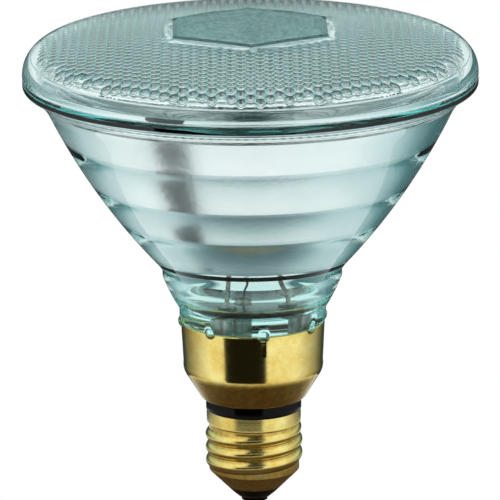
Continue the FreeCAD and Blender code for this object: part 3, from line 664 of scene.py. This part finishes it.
PLATE_FOOT = LENS_TOP - 1.5
BEVEL_FOOT = LENS_TOP - 1.8
DOME_UPRIGHT = 0.995
slots = [slot.material for slot in lens.material_slots]
valleys = [slots[face.material_index] is shaded_valley_glass for face in lens.data.polygons]
coat(lens, lens_glass, plate_glass, shaded_valley_glass)
for face, valley in zip(lens.data.polygons, valleys):
    reach = max(plate_reach(face.center)) - PLATE_FLATS / 2
    bevelled = reach < PLATE_BEVEL and face.normal.z < DOME_UPRIGHT
    if reach < 0 and face.center.z > PLATE_FOOT * MM:
        face.material_index = 1
    # The valleys and the hexagon's bevel get the painted shade.
    elif valley or bevelled and face.center.z > BEVEL_FOOT * MM:
        face.material_index = 2
    else:
        face.material_index = 0
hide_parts("front_lens")
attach(lens, "root")

# Skirt: a cup drawn from brass sheet, its lip hemmed inwards and slotted four times so that it
# can be clenched on the glass. It is bright, with faint drawing lines and dulled places.

SKIRT_SHEET = 0.5
SKIRT_FOOT = foot_of("skirt")
HOLE_RADIUS = 11.4
FOOT_RADIUS = 13.1
FOOT_CURVE = 1.7
CONE_FOOT = (14.4, SKIRT_FOOT + 0.85)
CONE_TOP = (17.85, SKIRT_FOOT + 6.6)
WALL_FOOT = (18.75, SKIRT_FOOT + 10.2)
WALL_CURVE = 4.6
LIP_RADIUS = reach_of("skirt")
HEM_DEPTH = 1.8
outline = [(HOLE_RADIUS, SKIRT_FOOT), (FOOT_RADIUS, SKIRT_FOOT)]
outline += arc(outline[-1], CONE_FOOT, FOOT_CURVE, 1, 6)
outline += [CONE_TOP]
outline += arc(outline[-1], WALL_FOOT, WALL_CURVE, 1, 8)
outline += [(LIP_RADIUS, LIP - SKIRT_SHEET)]
outline += arc(outline[-1], (LIP_RADIUS - SKIRT_SHEET, LIP), SKIRT_SHEET, 1, 5)
outline += arc(outline[-1], (LIP_RADIUS - 2 * SKIRT_SHEET, LIP - SKIRT_SHEET), SKIRT_SHEET, 1, 5)
outline += [(LIP_RADIUS - 2 * SKIRT_SHEET, LIP - HEM_DEPTH)]
outline += [(LIP_RADIUS - SKIRT_SHEET, LIP - HEM_DEPTH)]
outline += [(WALL_FOOT[0] - SKIRT_SHEET, WALL_FOOT[1]), (CONE_TOP[0] - SKIRT_SHEET, CONE_TOP[1])]
outline += [(FOOT_RADIUS, SKIRT_FOOT + SKIRT_SHEET), (HOLE_RADIUS, SKIRT_FOOT + SKIRT_SHEET)]
skirt = turn_on_axis("brass_skirt", outline)

SLOTS = 4
SLOT_WIDTH = 1.4
SLOT_DEPTH = 5.8
SLOT_CORNER = 0.55
CUTTER_LENGTH = 6.0
CUTTER_RISE = 2.0
for number in range(SLOTS):
    angle = FRONT_TURN - math.pi / 2 + ROUND * number / SLOTS
    deselect_all()
    bpy.ops.mesh.primitive_cube_add(size=1)
    cutter = bpy.context.object
    cutter.scale = (CUTTER_LENGTH * MM, SLOT_WIDTH * MM, (SLOT_DEPTH + CUTTER_RISE) * MM)
    cutter.rotation_euler = (0, 0, angle)
    cutter.location = (
        LIP_RADIUS * math.cos(angle) * MM,
        LIP_RADIUS * math.sin(angle) * MM,
        (LIP - SLOT_DEPTH / 2 + CUTTER_RISE / 2) * MM,
    )
    bpy.ops.object.transform_apply(location=True, rotation=True, scale=True)
    soften(cutter, SLOT_CORNER, 4)
    apply_modifier(skirt, "BOOLEAN", operation="DIFFERENCE", solver="EXACT", object=cutter)
    bpy.data.objects.remove(cutter)
smooth(skirt, 40.0)

STAIN_WIDTH = 7.69
FLECK_WIDTH = 1.43
LINE_SPACING = 0.417
LINE_LENGTH = 16.67
EDGE_WANDER = 0.4
BROWN_SHARE = 0.65


def brass_sheet(name, along, tarnished, clean, roughest, smoothest):
    """Worn brass sheet, finely lined by its forming. Its colour wanders from gold to pale
    yellow, and it is browner where its height or radius, in millimetres, nears tarnished."""
    brass = new_material(name)
    place = node(brass, "TexCoord").outputs["Object"]
    stain = node(
        brass, "TexNoise", {"Vector": place}, Scale=1 / (STAIN_WIDTH * MM), Detail=8.0, Roughness=0.72,
    ).outputs["Fac"]
    bright = node(brass, "ValToRGB", {"Fac": stain}, [(0.32, "#e6c45a"), (0.68, "#fff4a2")])
    fleck = node(brass, "TexNoise", {"Vector": place}, Scale=1 / (FLECK_WIDTH * MM), Detail=5.0)
    brown = node(
        brass, "ValToRGB", {"Fac": fleck.outputs["Fac"]}, [(0.35, "#9c6f24"), (0.65, "#d0a84a")],
    )
    if along == "height":
        reach = node(brass, "SeparateXYZ", {"Vector": place}).outputs["Z"]
    else:
        flat_place = node(brass, "VectorMath", {0: place}, operation="MULTIPLY")
        flat_place.inputs[1].default_value = (1.0, 1.0, 0.0)
        radius = node(brass, "VectorMath", {0: flat_place.outputs[0]}, operation="LENGTH")
        reach = radius.outputs["Value"]
    wander = node(
        brass, "MapRange", {"Value": stain}, To_Min=-EDGE_WANDER * MM, To_Max=EDGE_WANDER * MM,
    )
    reach = node(brass, "Math", {0: reach, 1: wander.outputs["Result"]}, operation="ADD")
    share = node(
        brass, "MapRange", {"Value": reach.outputs[0]},
        From_Min=tarnished * MM, From_Max=clean * MM, To_Min=BROWN_SHARE, To_Max=0.0,
    )
    links = {"Color1": bright.outputs["Color"], "Color2": brown.outputs["Color"]}
    colour = node(brass, "MixRGB", {"Fac": share.outputs["Result"], **links})
    dull = node(
        brass, "MapRange", {"Value": stain},
        From_Min=0.3, From_Max=0.7, To_Min=roughest, To_Max=smoothest,
    )
    spacing = (1 / (LINE_LENGTH * MM), 1 / (LINE_LENGTH * MM), 1 / (LINE_SPACING * MM))
    lines = node(brass, "Mapping", {"Vector": place}, Scale=spacing)
    drawn = node(brass, "TexNoise", {"Vector": lines.outputs["Vector"]}, Scale=1.0, Detail=2.0)
    bump = node(brass, "Bump", {"Height": drawn.outputs["Fac"]}, Strength=0.08, Distance=0.2 * MM)
    links = {"Normal": bump.outputs["Normal"], "Base Color": colour.outputs["Color"]}
    shader = node(
        brass, "BsdfPrincipled", {"Roughness": dull.outputs["Result"], **links}, Metallic=1.0,
    )
    node(brass, "OutputMaterial", {"Surface": shader.outputs["BSDF"]})
    return brass


# The skirt is bright towards its lip, and browner below the level where its stain ends.
STAIN_TOP = SKIRT_FOOT + 9.6
drawn_brass = brass_sheet("drawn_brass_sheet", "height", STAIN_TOP - 2, STAIN_TOP, 0.17, 0.10)
coat(skirt, drawn_brass)
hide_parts("skirt")
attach(skirt, "root")

# Black ring: moulded phenolic, glossy, between the skirt and the screw shell. Its spigot stands
# in the shell and its flange grips the edge of the skirt's hole.

RING_RADIUS = reach_of("insulating_ring")
RING_BORE = 8.0
RING_FOOT = top_of("screw_shell")
RING_TOP = SKIRT_FOOT + 1.8
RING_TAPER = 0.65
GRIP_RADIUS = HOLE_RADIUS - 0.05
SPIGOT_RADIUS = 12.25
SPIGOT_FOOT = RING_FOOT - 1.8
outline = [(RING_BORE, SPIGOT_FOOT), (SPIGOT_RADIUS, SPIGOT_FOOT), (SPIGOT_RADIUS, RING_FOOT)]
outline += [(RING_RADIUS, RING_FOOT), (RING_RADIUS, SKIRT_FOOT), (GRIP_RADIUS, SKIRT_FOOT)]
outline += [(GRIP_RADIUS, SKIRT_FOOT + SKIRT_SHEET), (RING_RADIUS, SKIRT_FOOT + SKIRT_SHEET)]
outline += [(RING_RADIUS - RING_TAPER, RING_TOP), (RING_BORE, RING_TOP)]
ring = turn_on_axis("black_ring", outline, 192)
soften(ring, 0.15)
smooth(ring)


def uneven(name, width, detail, strength, depth, **settings):
    """A surface of one colour with low swells, of a width and depth in millimetres."""
    material = new_material(name)
    coordinates = node(material, "TexCoord")
    swell = node(
        material, "TexNoise", {"Vector": coordinates.outputs["Object"]},
        Scale=1 / (width * MM), Detail=detail,
    )
    height = {"Height": swell.outputs["Fac"]}
    bump = node(material, "Bump", height, Strength=strength, Distance=depth * MM)
    shader = node(material, "BsdfPrincipled", {"Normal": bump.outputs["Normal"]}, **settings)
    node(material, "OutputMaterial", {"Surface": shader.outputs["BSDF"]})
    return material


# Moulded phenolic is near black, with small soft highlights that its flow marks break up.
phenolic = uneven(
    "moulded_phenolic", 4.55, 3.0, 0.15, 0.1,
    Base_Color=linear("#030303"), Roughness=0.16, Specular_IOR_Level=0.12,
)
coat(ring, phenolic)
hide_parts("insulating_ring")
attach(ring, "root")

# Screw shell: brass sheet rolled to the round E27 thread, with a plain collar at the top and a
# cone down to the tip. The thread is right-handed and fades out at both ends.

SHELL_FOOT = foot_of("screw_shell")
SHELL_TOP = RING_FOOT
SHELL_SHEET = 0.4
TIP_RADIUS = 6.25
ROOT_RADIUS = 12.15
COLLAR_RADIUS = 12.7
COLLAR_FOOT = SHELL_TOP - 4.0
COLLAR_RISE = 0.5
CONE_HEIGHT = 6.0
THREAD_DEPTH = 0.95
THREAD_PITCH = 3.629
THREAD_START = SHELL_FOOT + 7.5
THREAD_END = THREAD_START + 10.7
THREAD_TURN = math.radians(80.0)
THREAD_FADE = 0.9
THREAD_SLACK = 0.01
CREST_FULLNESS = 0.4
VALLEY_SOFTNESS = 0.03
SHELL_STEPS = 240
SHELL_RISES = 175


def thread_reach(bearing, level):
    """Radius of the shell's outside at a bearing and a level."""
    if level < SHELL_FOOT + CONE_HEIGHT:
        slope = (ROOT_RADIUS - TIP_RADIUS) / CONE_HEIGHT
        plain = TIP_RADIUS + (level - SHELL_FOOT) * slope
    else:
        rise = min(max((level - COLLAR_FOOT) / COLLAR_RISE, 0.0), 1.0)
        plain = ROOT_RADIUS + (COLLAR_RADIUS - ROOT_RADIUS) * rise * rise * (3 - 2 * rise)
    turned = (bearing - THREAD_TURN) % ROUND / ROUND * THREAD_PITCH
    turns = math.floor((level - THREAD_START - turned) / THREAD_PITCH + 0.5)
    crest = THREAD_START + turned + turns * THREAD_PITCH
    if crest < THREAD_START - THREAD_SLACK or crest > THREAD_END + THREAD_SLACK:
        return plain
    off = abs(level - crest) / THREAD_PITCH
    inside = min(crest - THREAD_START, THREAD_END - crest)
    ease = max(min(inside / THREAD_FADE, 1.0), 0.0)
    wave = (math.cos(math.pi * min(off, 0.5)) ** 2 + VALLEY_SOFTNESS) ** CREST_FULLNESS
    low = VALLEY_SOFTNESS ** CREST_FULLNESS
    high = (1 + VALLEY_SOFTNESS) ** CREST_FULLNESS
    return max(plain, ROOT_RADIUS + THREAD_DEPTH * ease * (wave - low) / (high - low))


deselect_all()
bpy.ops.mesh.primitive_cylinder_add(
    vertices=SHELL_STEPS, radius=ROOT_RADIUS * MM, depth=(SHELL_TOP - SHELL_FOOT) * MM,
    end_fill_type="NOTHING", location=(0, 0, (SHELL_TOP + SHELL_FOOT) / 2 * MM),
)
bpy.ops.object.transform_apply(location=True, rotation=True, scale=True)
shell = bpy.context.object
shell.name = "screw_shell_brass"
bpy.ops.object.mode_set(mode="EDIT")
bpy.ops.mesh.select_mode(type="EDGE")
bpy.ops.mesh.select_all(action="DESELECT")
bpy.ops.object.mode_set(mode="OBJECT")
for edge in shell.data.edges:
    ends = [shell.data.vertices[number].co.z for number in edge.vertices]
    edge.select = abs(ends[0] - ends[1]) > MM
bpy.ops.object.mode_set(mode="EDIT")
bpy.ops.mesh.subdivide_edgering(number_cuts=SHELL_RISES, interpolation="LINEAR", smoothness=0)
bpy.ops.object.mode_set(mode="OBJECT")
for vertex in shell.data.vertices:
    bearing = math.atan2(vertex.co.y, vertex.co.x)
    reach = thread_reach(bearing, vertex.co.z / MM) * MM
    vertex.co.x = reach * math.cos(bearing)
    vertex.co.y = reach * math.sin(bearing)
apply_modifier(shell, "SOLIDIFY", thickness=SHELL_SHEET * MM, offset=-1.0, use_even_offset=True)
smooth(shell, 40.0)

# The thread's roots keep their tarnish, and its crests are rubbed bright.
STAIN_REACH = ROOT_RADIUS + 0.15
CLEAN_REACH = ROOT_RADIUS + 0.5
rolled_brass = brass_sheet("rolled_brass_sheet", "radius", STAIN_REACH, CLEAN_REACH, 0.26, 0.18)
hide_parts("screw_shell")
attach(shell, "root")

# Tip: black glass poured into the shell's cone and lapping its lowest edge, a brass contact disc
# set in it, and a button of solder on the disc.

TIP_TOP = top_of("base_insulator")
CONTACT_FACE = foot_of("base_insulator")
DISC_TOP = CONTACT_FACE + 0.25
DISC_RADIUS = 3.5
WIRE_HOLE = 1.0
GLASS_FOOT = SHELL_FOOT - 0.05
GLASS_LAP = 1.4
outline = [(WIRE_HOLE, DISC_TOP), (DISC_RADIUS, DISC_TOP), (DISC_RADIUS, CONTACT_FACE)]
outline += [(3.95, CONTACT_FACE), (4.35, CONTACT_FACE + 0.2), (TIP_RADIUS, GLASS_FOOT)]
outline += [(5.64, GLASS_FOOT), (10.75, TIP_TOP), (8.2, TIP_TOP), (WIRE_HOLE, SHELL_FOOT + 1.55)]
insulator = turn_on_axis("black_glass_tip", outline, 160)
soften(insulator, 0.12)
smooth(insulator)

# Poured glass sets with a smooth, faintly wavy skin, black and glossy.
black_glass = uneven(
    "poured_black_glass", 3.33, 2.0, 0.2, 0.1,
    Base_Color=linear("#020202"), Roughness=0.08, Specular_IOR_Level=0.12,
)
coat(insulator, black_glass)
coat(shell, rolled_brass, black_glass)
for face in shell.data.polygons:
    if face.center.z < (SHELL_FOOT + GLASS_LAP) * MM:
        face.material_index = 1
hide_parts("base_insulator")
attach(insulator, "root")

BUTTON_TOP = top_of("contact_solder")
outline = [(WIRE_HOLE, BUTTON_TOP), (DISC_RADIUS, BUTTON_TOP)]
outline += [(DISC_RADIUS, DISC_TOP), (WIRE_HOLE, DISC_TOP)]
contact = turn_on_axis("contact_disc", outline, 96)
soften(contact, 0.15)
smooth(contact)

# The contact disc is dulled brass, and painted shade makes it nearly black, with a little brown in it.
shaded_dull_brass = mottled(
    "dulled_brass_painted_shade", 2.0, 4.0, [(0, "#0c0a06"), (1, "#2c2212")], Metallic=1.0, Roughness=0.4,
)
coat(contact, shaded_dull_brass)
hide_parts("centre_contact")
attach(contact, "root")

BUTTON_FLAT = (1.2, 0)
BUTTON_RADIUS = 2.6
outline = [(0, 0), BUTTON_FLAT]
outline += arc(BUTTON_FLAT, (BUTTON_RADIUS, BUTTON_TOP), BUTTON_RADIUS, 1, 8)
outline += [(0, BUTTON_TOP)]
button = turn_on_axis("solder_button", outline, 96)
smooth(button)

# Solder sets pale grey, with a dull and slightly crinkled skin.
tin = uneven(
    "tin_solder", 1.11, 4.0, 0.4, 0.1,
    Base_Color=linear("#b9bab8"), Metallic=1.0, Roughness=0.35,
)
coat(button, tin)
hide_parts("contact_solder")
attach(button, "root")
coat(bpy.data.objects["side_solder"], tin)

# Inside: thimbles of nickel-iron sealed in the glass, posts and an anchor brazed to them, a glass
# tube melted shut, and bare copper leads to the cap, one of them in a woven sleeve.

# Drawn nickel-iron is a warm grey, with a light oxide from the sealing flame.
nickel_iron = mottled(
    "drawn_nickel_iron", 2.5, 4.0, [(0.35, "#8f8b85"), (0.7, "#c4bfb7")],
    Metallic=1.0, Roughness=0.3,
)
for name in (
    "ferrule_left", "ferrule_right", "exhaust_ferrule", "support_post_left", "support_post_right",
    "filament_anchor",
):
    coat(bpy.data.objects[name], nickel_iron)

coat(bpy.data.objects["exhaust_tube"], glass)

# Bare copper is stained darker here and there by handling.
copper = mottled(
    "bare_copper_wire", 2.0, 3.0, [(0, "#8a4a2c"), (1, "#e0906a")], Metallic=1.0, Roughness=0.28,
)
for name in ("cap_lead_side", "cap_lead_centre"):
    coat(bpy.data.objects[name], copper)

# The sleeve is braided from white glass yarn, dull, with shade between the yarns.
YARN = 0.5
woven = new_material("woven_glass_fibre")
coordinates = node(woven, "TexCoord")
weave = node(
    woven, "TexWave", {"Vector": coordinates.outputs["Object"]},
    bands_direction="DIAGONAL", Scale=ROUND / (YARN * MM) / 20, Distortion=1.0,
)
bump = node(woven, "Bump", {"Height": weave.outputs["Fac"]}, Strength=0.8, Distance=0.1 * MM)
tone = node(woven, "ValToRGB", {"Fac": weave.outputs["Fac"]}, [(0, "#b8b4a6"), (1, "#eae7dc")])
links = {"Normal": bump.outputs["Normal"], "Base Color": tone.outputs["Color"]}
shader = node(woven, "BsdfPrincipled", links, Roughness=0.9)
node(woven, "OutputMaterial", {"Surface": shader.outputs["BSDF"]})
coat(bpy.data.objects["lead_sleeve"], woven)

# Filament: a helix of drawn tungsten wire, dark grey, held at both ends by the posts.

COIL_RADIUS = 0.6
COIL_WIRE = 0.13
COIL_TURNS = 20
coil_low, coil_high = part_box("filament")
coil_axis = (coil_low.z + coil_high.z) / 2
coil_length = (coil_high.x - coil_low.x) / MM - 2 * COIL_WIRE
deselect_all()
bpy.ops.mesh.primitive_circle_add(
    vertices=8,
    radius=COIL_WIRE * MM,
    location=(coil_low.x + COIL_WIRE * MM, 0, coil_axis + COIL_RADIUS * MM),
)
bpy.ops.object.transform_apply(location=True, rotation=True, scale=True)
coil = bpy.context.object
coil.name = "filament_coil"
for vertex in coil.data.vertices:
    vertex.co.z -= coil_axis
apply_modifier(
    coil, "SCREW", axis="X", angle=ROUND, steps=20, render_steps=20,
    screw_offset=coil_length / COIL_TURNS * MM, iterations=COIL_TURNS, use_merge_vertices=True,
)
for vertex in coil.data.vertices:
    vertex.co.z += coil_axis
bpy.ops.object.mode_set(mode="EDIT")
bpy.ops.mesh.select_mode(type="EDGE")
bpy.ops.mesh.select_all(action="DESELECT")
bpy.ops.mesh.select_non_manifold()
bpy.ops.mesh.fill()
bpy.ops.mesh.select_all(action="SELECT")
bpy.ops.mesh.normals_make_consistent(inside=False)
bpy.ops.object.mode_set(mode="OBJECT")
smooth(coil, 60.0)

# Tungsten is dark grey, and the lines of its drawing make it a little rough.
tungsten = uneven(
    "drawn_tungsten", 0.667, 2.0, 0.3, 0.1,
    Base_Color=linear("#6a6766"), Metallic=1.0, Roughness=0.35,
)
coat(coil, tungsten)
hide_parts("filament")
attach(coil, "root")

# Camera: a long lens a little above the lamp, as the photograph was taken.

FOCAL = 350.07
SENSOR = 36.0
CAMERA_PLACE = Vector((-0.57, -1254.1, 413.4)) * MM
CAMERA_AIM = Vector((-0.57, 0.0, 71.0)) * MM
CAMERA_ROLL = math.radians(-0.59)
NEAREST_SEEN = 50.0
FURTHEST_SEEN = 20000.0
deselect_all()
bpy.ops.object.camera_add(location=CAMERA_PLACE)
camera = bpy.context.object
gaze = (CAMERA_AIM - CAMERA_PLACE).to_track_quat("-Z", "Y")
camera.rotation_mode = "QUATERNION"
camera.rotation_quaternion = gaze @ Quaternion((0, 0, 1), CAMERA_ROLL)
camera.data.lens = FOCAL
camera.data.sensor_width = SENSOR
camera.data.clip_start = NEAREST_SEEN * MM
camera.data.clip_end = FURTHEST_SEEN * MM
bpy.context.scene.camera = camera

# Floor: a plain pale sheet under the lamp, white to the camera and through the glass.

PAPER_WIDTH = 6000.0
PAPER_DROP = 0.2
deselect_all()
bpy.ops.mesh.primitive_plane_add(size=PAPER_WIDTH * MM, location=(0, 0, -PAPER_DROP * MM))
floor = bpy.context.object
floor.name = "floor"
paper = new_material("white_paper")
path = node(paper, "LightPath")
seen = node(
    paper, "Math", {0: path.outputs["Is Camera Ray"], 1: path.outputs["Is Transmission Ray"]},
    operation="MAXIMUM",
)
sheet = node(paper, "BsdfDiffuse", Color=linear("#f2f2f2"))
glow = node(paper, "Emission", Color=(1.0, 1.0, 1.0, 1.0), Strength=1.0)
both = node(paper, "MixShader", {0: seen.outputs[0], 1: sheet.outputs[0], 2: glow.outputs[0]})
node(paper, "OutputMaterial", {"Surface": both.outputs[0]})
coat(floor, paper)
floor.visible_glossy = False

# Light: a white tent all round. What the lamp mirrors as dark is card and paper that only
# reflections and glass show: two cards in front and two wings at the sides, as a studio uses
# them, the dim back of the tent, the shaded paper below, and two painted shadows on it, a strip
# at the left and a round disc under the lamp.

world = bpy.data.worlds.new("white_tent")
bpy.context.scene.world = world
world.use_nodes = True
world.node_tree.nodes.clear()
path = node(world, "LightPath")
seen = node(
    world, "Math", {0: path.outputs["Is Camera Ray"], 1: path.outputs["Is Glossy Ray"]},
    operation="MAXIMUM",
)
seen = node(
    world, "Math", {0: seen.outputs[0], 1: path.outputs["Is Transmission Ray"]},
    operation="MAXIMUM",
)
dim = node(world, "Background", Color=(1.0, 1.0, 1.0, 1.0), Strength=0.8)
white = node(world, "Background", Color=(1.0, 1.0, 1.0, 1.0), Strength=1.0)
both = node(world, "MixShader", {0: seen.outputs[0], 1: dim.outputs[0], 2: white.outputs[0]})
node(world, "OutputWorld", {"Surface": both.outputs[0]})


def light_up(sheet, material, colour=None, **settings):
    """Ends a sheet's material as a plain glow, which only reflections and glass show."""
    links = {"Color": colour} if colour else {}
    glow = node(material, "Emission", links, Strength=1.0, **settings)
    node(material, "OutputMaterial", {"Surface": glow.outputs[0]})
    coat(sheet, material)
    sheet.visible_camera = False
    sheet.visible_diffuse = False
    sheet.visible_shadow = False


def card(name, corners, shade):
    """A flat card with four corners, in millimetres, of one shade."""
    deselect_all()
    bpy.ops.mesh.primitive_plane_add(size=1)
    sheet = bpy.context.object
    sheet.name = name
    for number, place in zip((0, 1, 3, 2), corners):
        sheet.data.vertices[number].co = Vector(place) * MM
    light_up(sheet, new_material(name + "_black"), Color=linear(shade))


def on_bearing(bearing, away):
    """A place by its bearing from the lamp's front, to the right, in degrees, and distance."""
    angle = math.radians(bearing)
    return (away * math.sin(angle), -away * math.cos(angle))


def upright(left, right, foot, top):
    """The corners of a card that stands over two places, from one level to another."""
    return [(*left, foot), (*right, foot), (*right, top), (*left, top)]


WING_AWAY = 1200
WING_FRONT = -900
WING_BACK = 1100
card("front_card", upright(on_bearing(-47, 900), on_bearing(21, 657), -560, 330), "#121212")
card("high_card", upright(on_bearing(-27, 760), on_bearing(27, 760), 420, 2300), "#040606")
# Painted shadow: a dark strip lying on the paper at the left, which shows only through the glass.
card("left_painted_shadow", [(-76, -8, 0.5), (-42, -20, 0.5), (-78, -104, 0.5), (-120, -84, 0.5)], "#04181c")
for name, away, shade in (("left_wing", -1, "#8db0b2"), ("right_wing", 1, "#7ca6a8")):
    ends = [(away * WING_AWAY, WING_FRONT), (away * WING_AWAY, WING_BACK)]
    card(name, upright(*ends, -200, 500), shade)
for name in ("left_painted_shadow", "left_wing", "right_wing"):
    bpy.data.objects[name].visible_glossy = False

# The tent's wall, which only reflections show: white in front and dim at the back, darkest
# low down straight behind the lamp.
TENT_RADIUS = 1500.0
TENT_HEIGHT = 3000.0
TENT_MIDDLE = 200.0
DIM_TOP = 100.0
PALE_FOOT = 300.0
deselect_all()
bpy.ops.mesh.primitive_cylinder_add(
    vertices=96, radius=TENT_RADIUS * MM, depth=TENT_HEIGHT * MM, end_fill_type="NOTHING",
    location=(0, 0, TENT_MIDDLE * MM),
)
bpy.ops.object.transform_apply(location=True, rotation=True, scale=True)
tent = bpy.context.object
tent.name = "tent_back"
dimmed = new_material("dim_tent")
coordinates = node(dimmed, "TexCoord")
place = node(dimmed, "SeparateXYZ", {"Vector": coordinates.outputs["Object"]})
behind = node(
    dimmed, "MapRange", {"Value": place.outputs["Y"]},
    From_Min=-0.3 * TENT_RADIUS * MM, From_Max=0.85 * TENT_RADIUS * MM, To_Min=1.0, To_Max=0.0,
)
dim = node(
    dimmed, "ValToRGB", {"Fac": behind.outputs["Result"]},
    [(0, "#3a4444"), (0.45, "#b4b4b4"), (1, "#fafafa")],
)
upper = node(
    dimmed, "MapRange", {"Value": place.outputs["Z"]}, From_Min=DIM_TOP * MM, From_Max=PALE_FOOT * MM,
)
pale = node(
    dimmed, "ValToRGB", {"Fac": behind.outputs["Result"]}, [(0, "#acc9c7"), (1, "#ffffff")],
)
links = {"Color1": dim.outputs["Color"], "Color2": pale.outputs["Color"]}
both = node(dimmed, "MixRGB", {"Fac": upper.outputs["Result"], **links})
light_up(tent, dimmed, both.outputs["Color"])
tent.visible_transmission = False

# Painted shadow: a round disc on the paper, which only reflections show, is the lamp's own shadow,
# dark and brown under the lamp and paler to its edge.
SHADOW_DISC_RADIUS = 80.0
SHADOW_DISC_LEVEL = 0.3
deselect_all()
bpy.ops.mesh.primitive_circle_add(
    vertices=64, radius=SHADOW_DISC_RADIUS * MM, fill_type="NGON", location=(0, 0, SHADOW_DISC_LEVEL * MM),
)
shadow_disc = bpy.context.object
shadow_disc.name = "painted_lamp_shadow"
shade = new_material("painted_shadow_disc")
coordinates = node(shade, "TexCoord")
away = node(shade, "VectorMath", {0: coordinates.outputs["Object"]}, operation="LENGTH")
part = node(shade, "MapRange", {"Value": away.outputs["Value"]}, From_Max=SHADOW_DISC_RADIUS * MM)
ramp = node(
    shade, "ValToRGB", {"Fac": part.outputs["Result"]},
    [(0.3, "#584c40"), (0.5, "#7a746c"), (0.66, "#acaeac"), (0.88, "#dde3e3"), (1, "#f4f6f6")],
)
light_up(shadow_disc, shade, ramp.outputs["Color"])
shadow_disc.visible_transmission = False

# The silver sees the paper below the lamp through the glass: in shade near the lamp, and dimmer
# and greener behind it on both sides.
SHEET_WIDTH = 2390.0
SHEET_LEVEL = 0.2
BACK_SLANT = 0.2
UNDER_LAMP = 25.0
CLEAR_OF_LAMP = 105.0
BACK_START = -60.0
BACK_END = 240.0
SIDE_START = 35.0
SIDE_END = 60.0
OUTER_START = -70.0
OUTER_END = -170.0
OUTER_SHARE = 0.35
deselect_all()
bpy.ops.mesh.primitive_plane_add(size=SHEET_WIDTH * MM, location=(0, 0, SHEET_LEVEL * MM))
bpy.ops.object.transform_apply(location=True, rotation=True, scale=True)
below = bpy.context.object
below.name = "shaded_paper"
shade = new_material("shaded_paper_green")
coordinates = node(shade, "TexCoord")
place = node(shade, "SeparateXYZ", {"Vector": coordinates.outputs["Object"]})
away = node(shade, "VectorMath", {0: coordinates.outputs["Object"]}, operation="LENGTH")
near = node(
    shade, "MapRange", {"Value": away.outputs["Value"]},
    From_Min=UNDER_LAMP * MM, From_Max=CLEAR_OF_LAMP * MM,
)
front = node(shade, "ValToRGB", {"Fac": near.outputs["Result"]}, [
    (0, "#44646a"), (0.12, "#688488"), (0.22, "#84a0a2"), (0.34, "#b4cccc"), (0.43, "#dce9e9"),
    (1, "#fcfefe"),
])
slant = node(shade, "Math", {0: place.outputs["X"], 2: place.outputs["Y"]}, operation="MULTIPLY_ADD")
slant.inputs[1].default_value = BACK_SLANT
rear = node(
    shade, "MapRange", {"Value": slant.outputs[0]}, From_Min=BACK_START * MM, From_Max=BACK_END * MM,
)
back = node(shade, "ValToRGB", {"Fac": rear.outputs["Result"]}, [
    (0.13, "#f6fbfb"), (0.2, "#dfecec"), (0.43, "#bad2d3"), (0.57, "#88aeb0"), (0.73, "#608a8c"),
    (1, "#4e7678"),
])
aside = node(shade, "Math", {0: place.outputs["X"]}, operation="ABSOLUTE")
side = node(
    shade, "MapRange", {"Value": aside.outputs[0]}, From_Min=SIDE_START * MM, From_Max=SIDE_END * MM,
)
links = {"Color1": front.outputs["Color"], "Color2": back.outputs["Color"]}
both = node(shade, "MixRGB", {"Fac": side.outputs["Result"], **links}, blend_type="MULTIPLY")
outer = node(
    shade, "MapRange", {"Value": place.outputs["X"]},
    From_Min=OUTER_START * MM, From_Max=OUTER_END * MM, To_Max=OUTER_SHARE,
)
links = {"Fac": outer.outputs["Result"], "Color1": both.outputs["Color"]}
both = node(shade, "MixRGB", links, Color2=linear("#e8f4f4"))
light_up(below, shade, both.outputs["Color"])
below.visible_glossy = False

# Thick glass hands the light on many times before it leaves, so it is followed further than
# usual, and the small glints that it ends in are kept sharp.
bpy.context.scene.cycles.max_bounces = 24
bpy.context.scene.cycles.glossy_bounces = 16
bpy.context.scene.cycles.transmission_bounces = 24
bpy.context.scene.cycles.blur_glossy = 0.0
bpy.context.scene.view_settings.view_transform = "Standard"
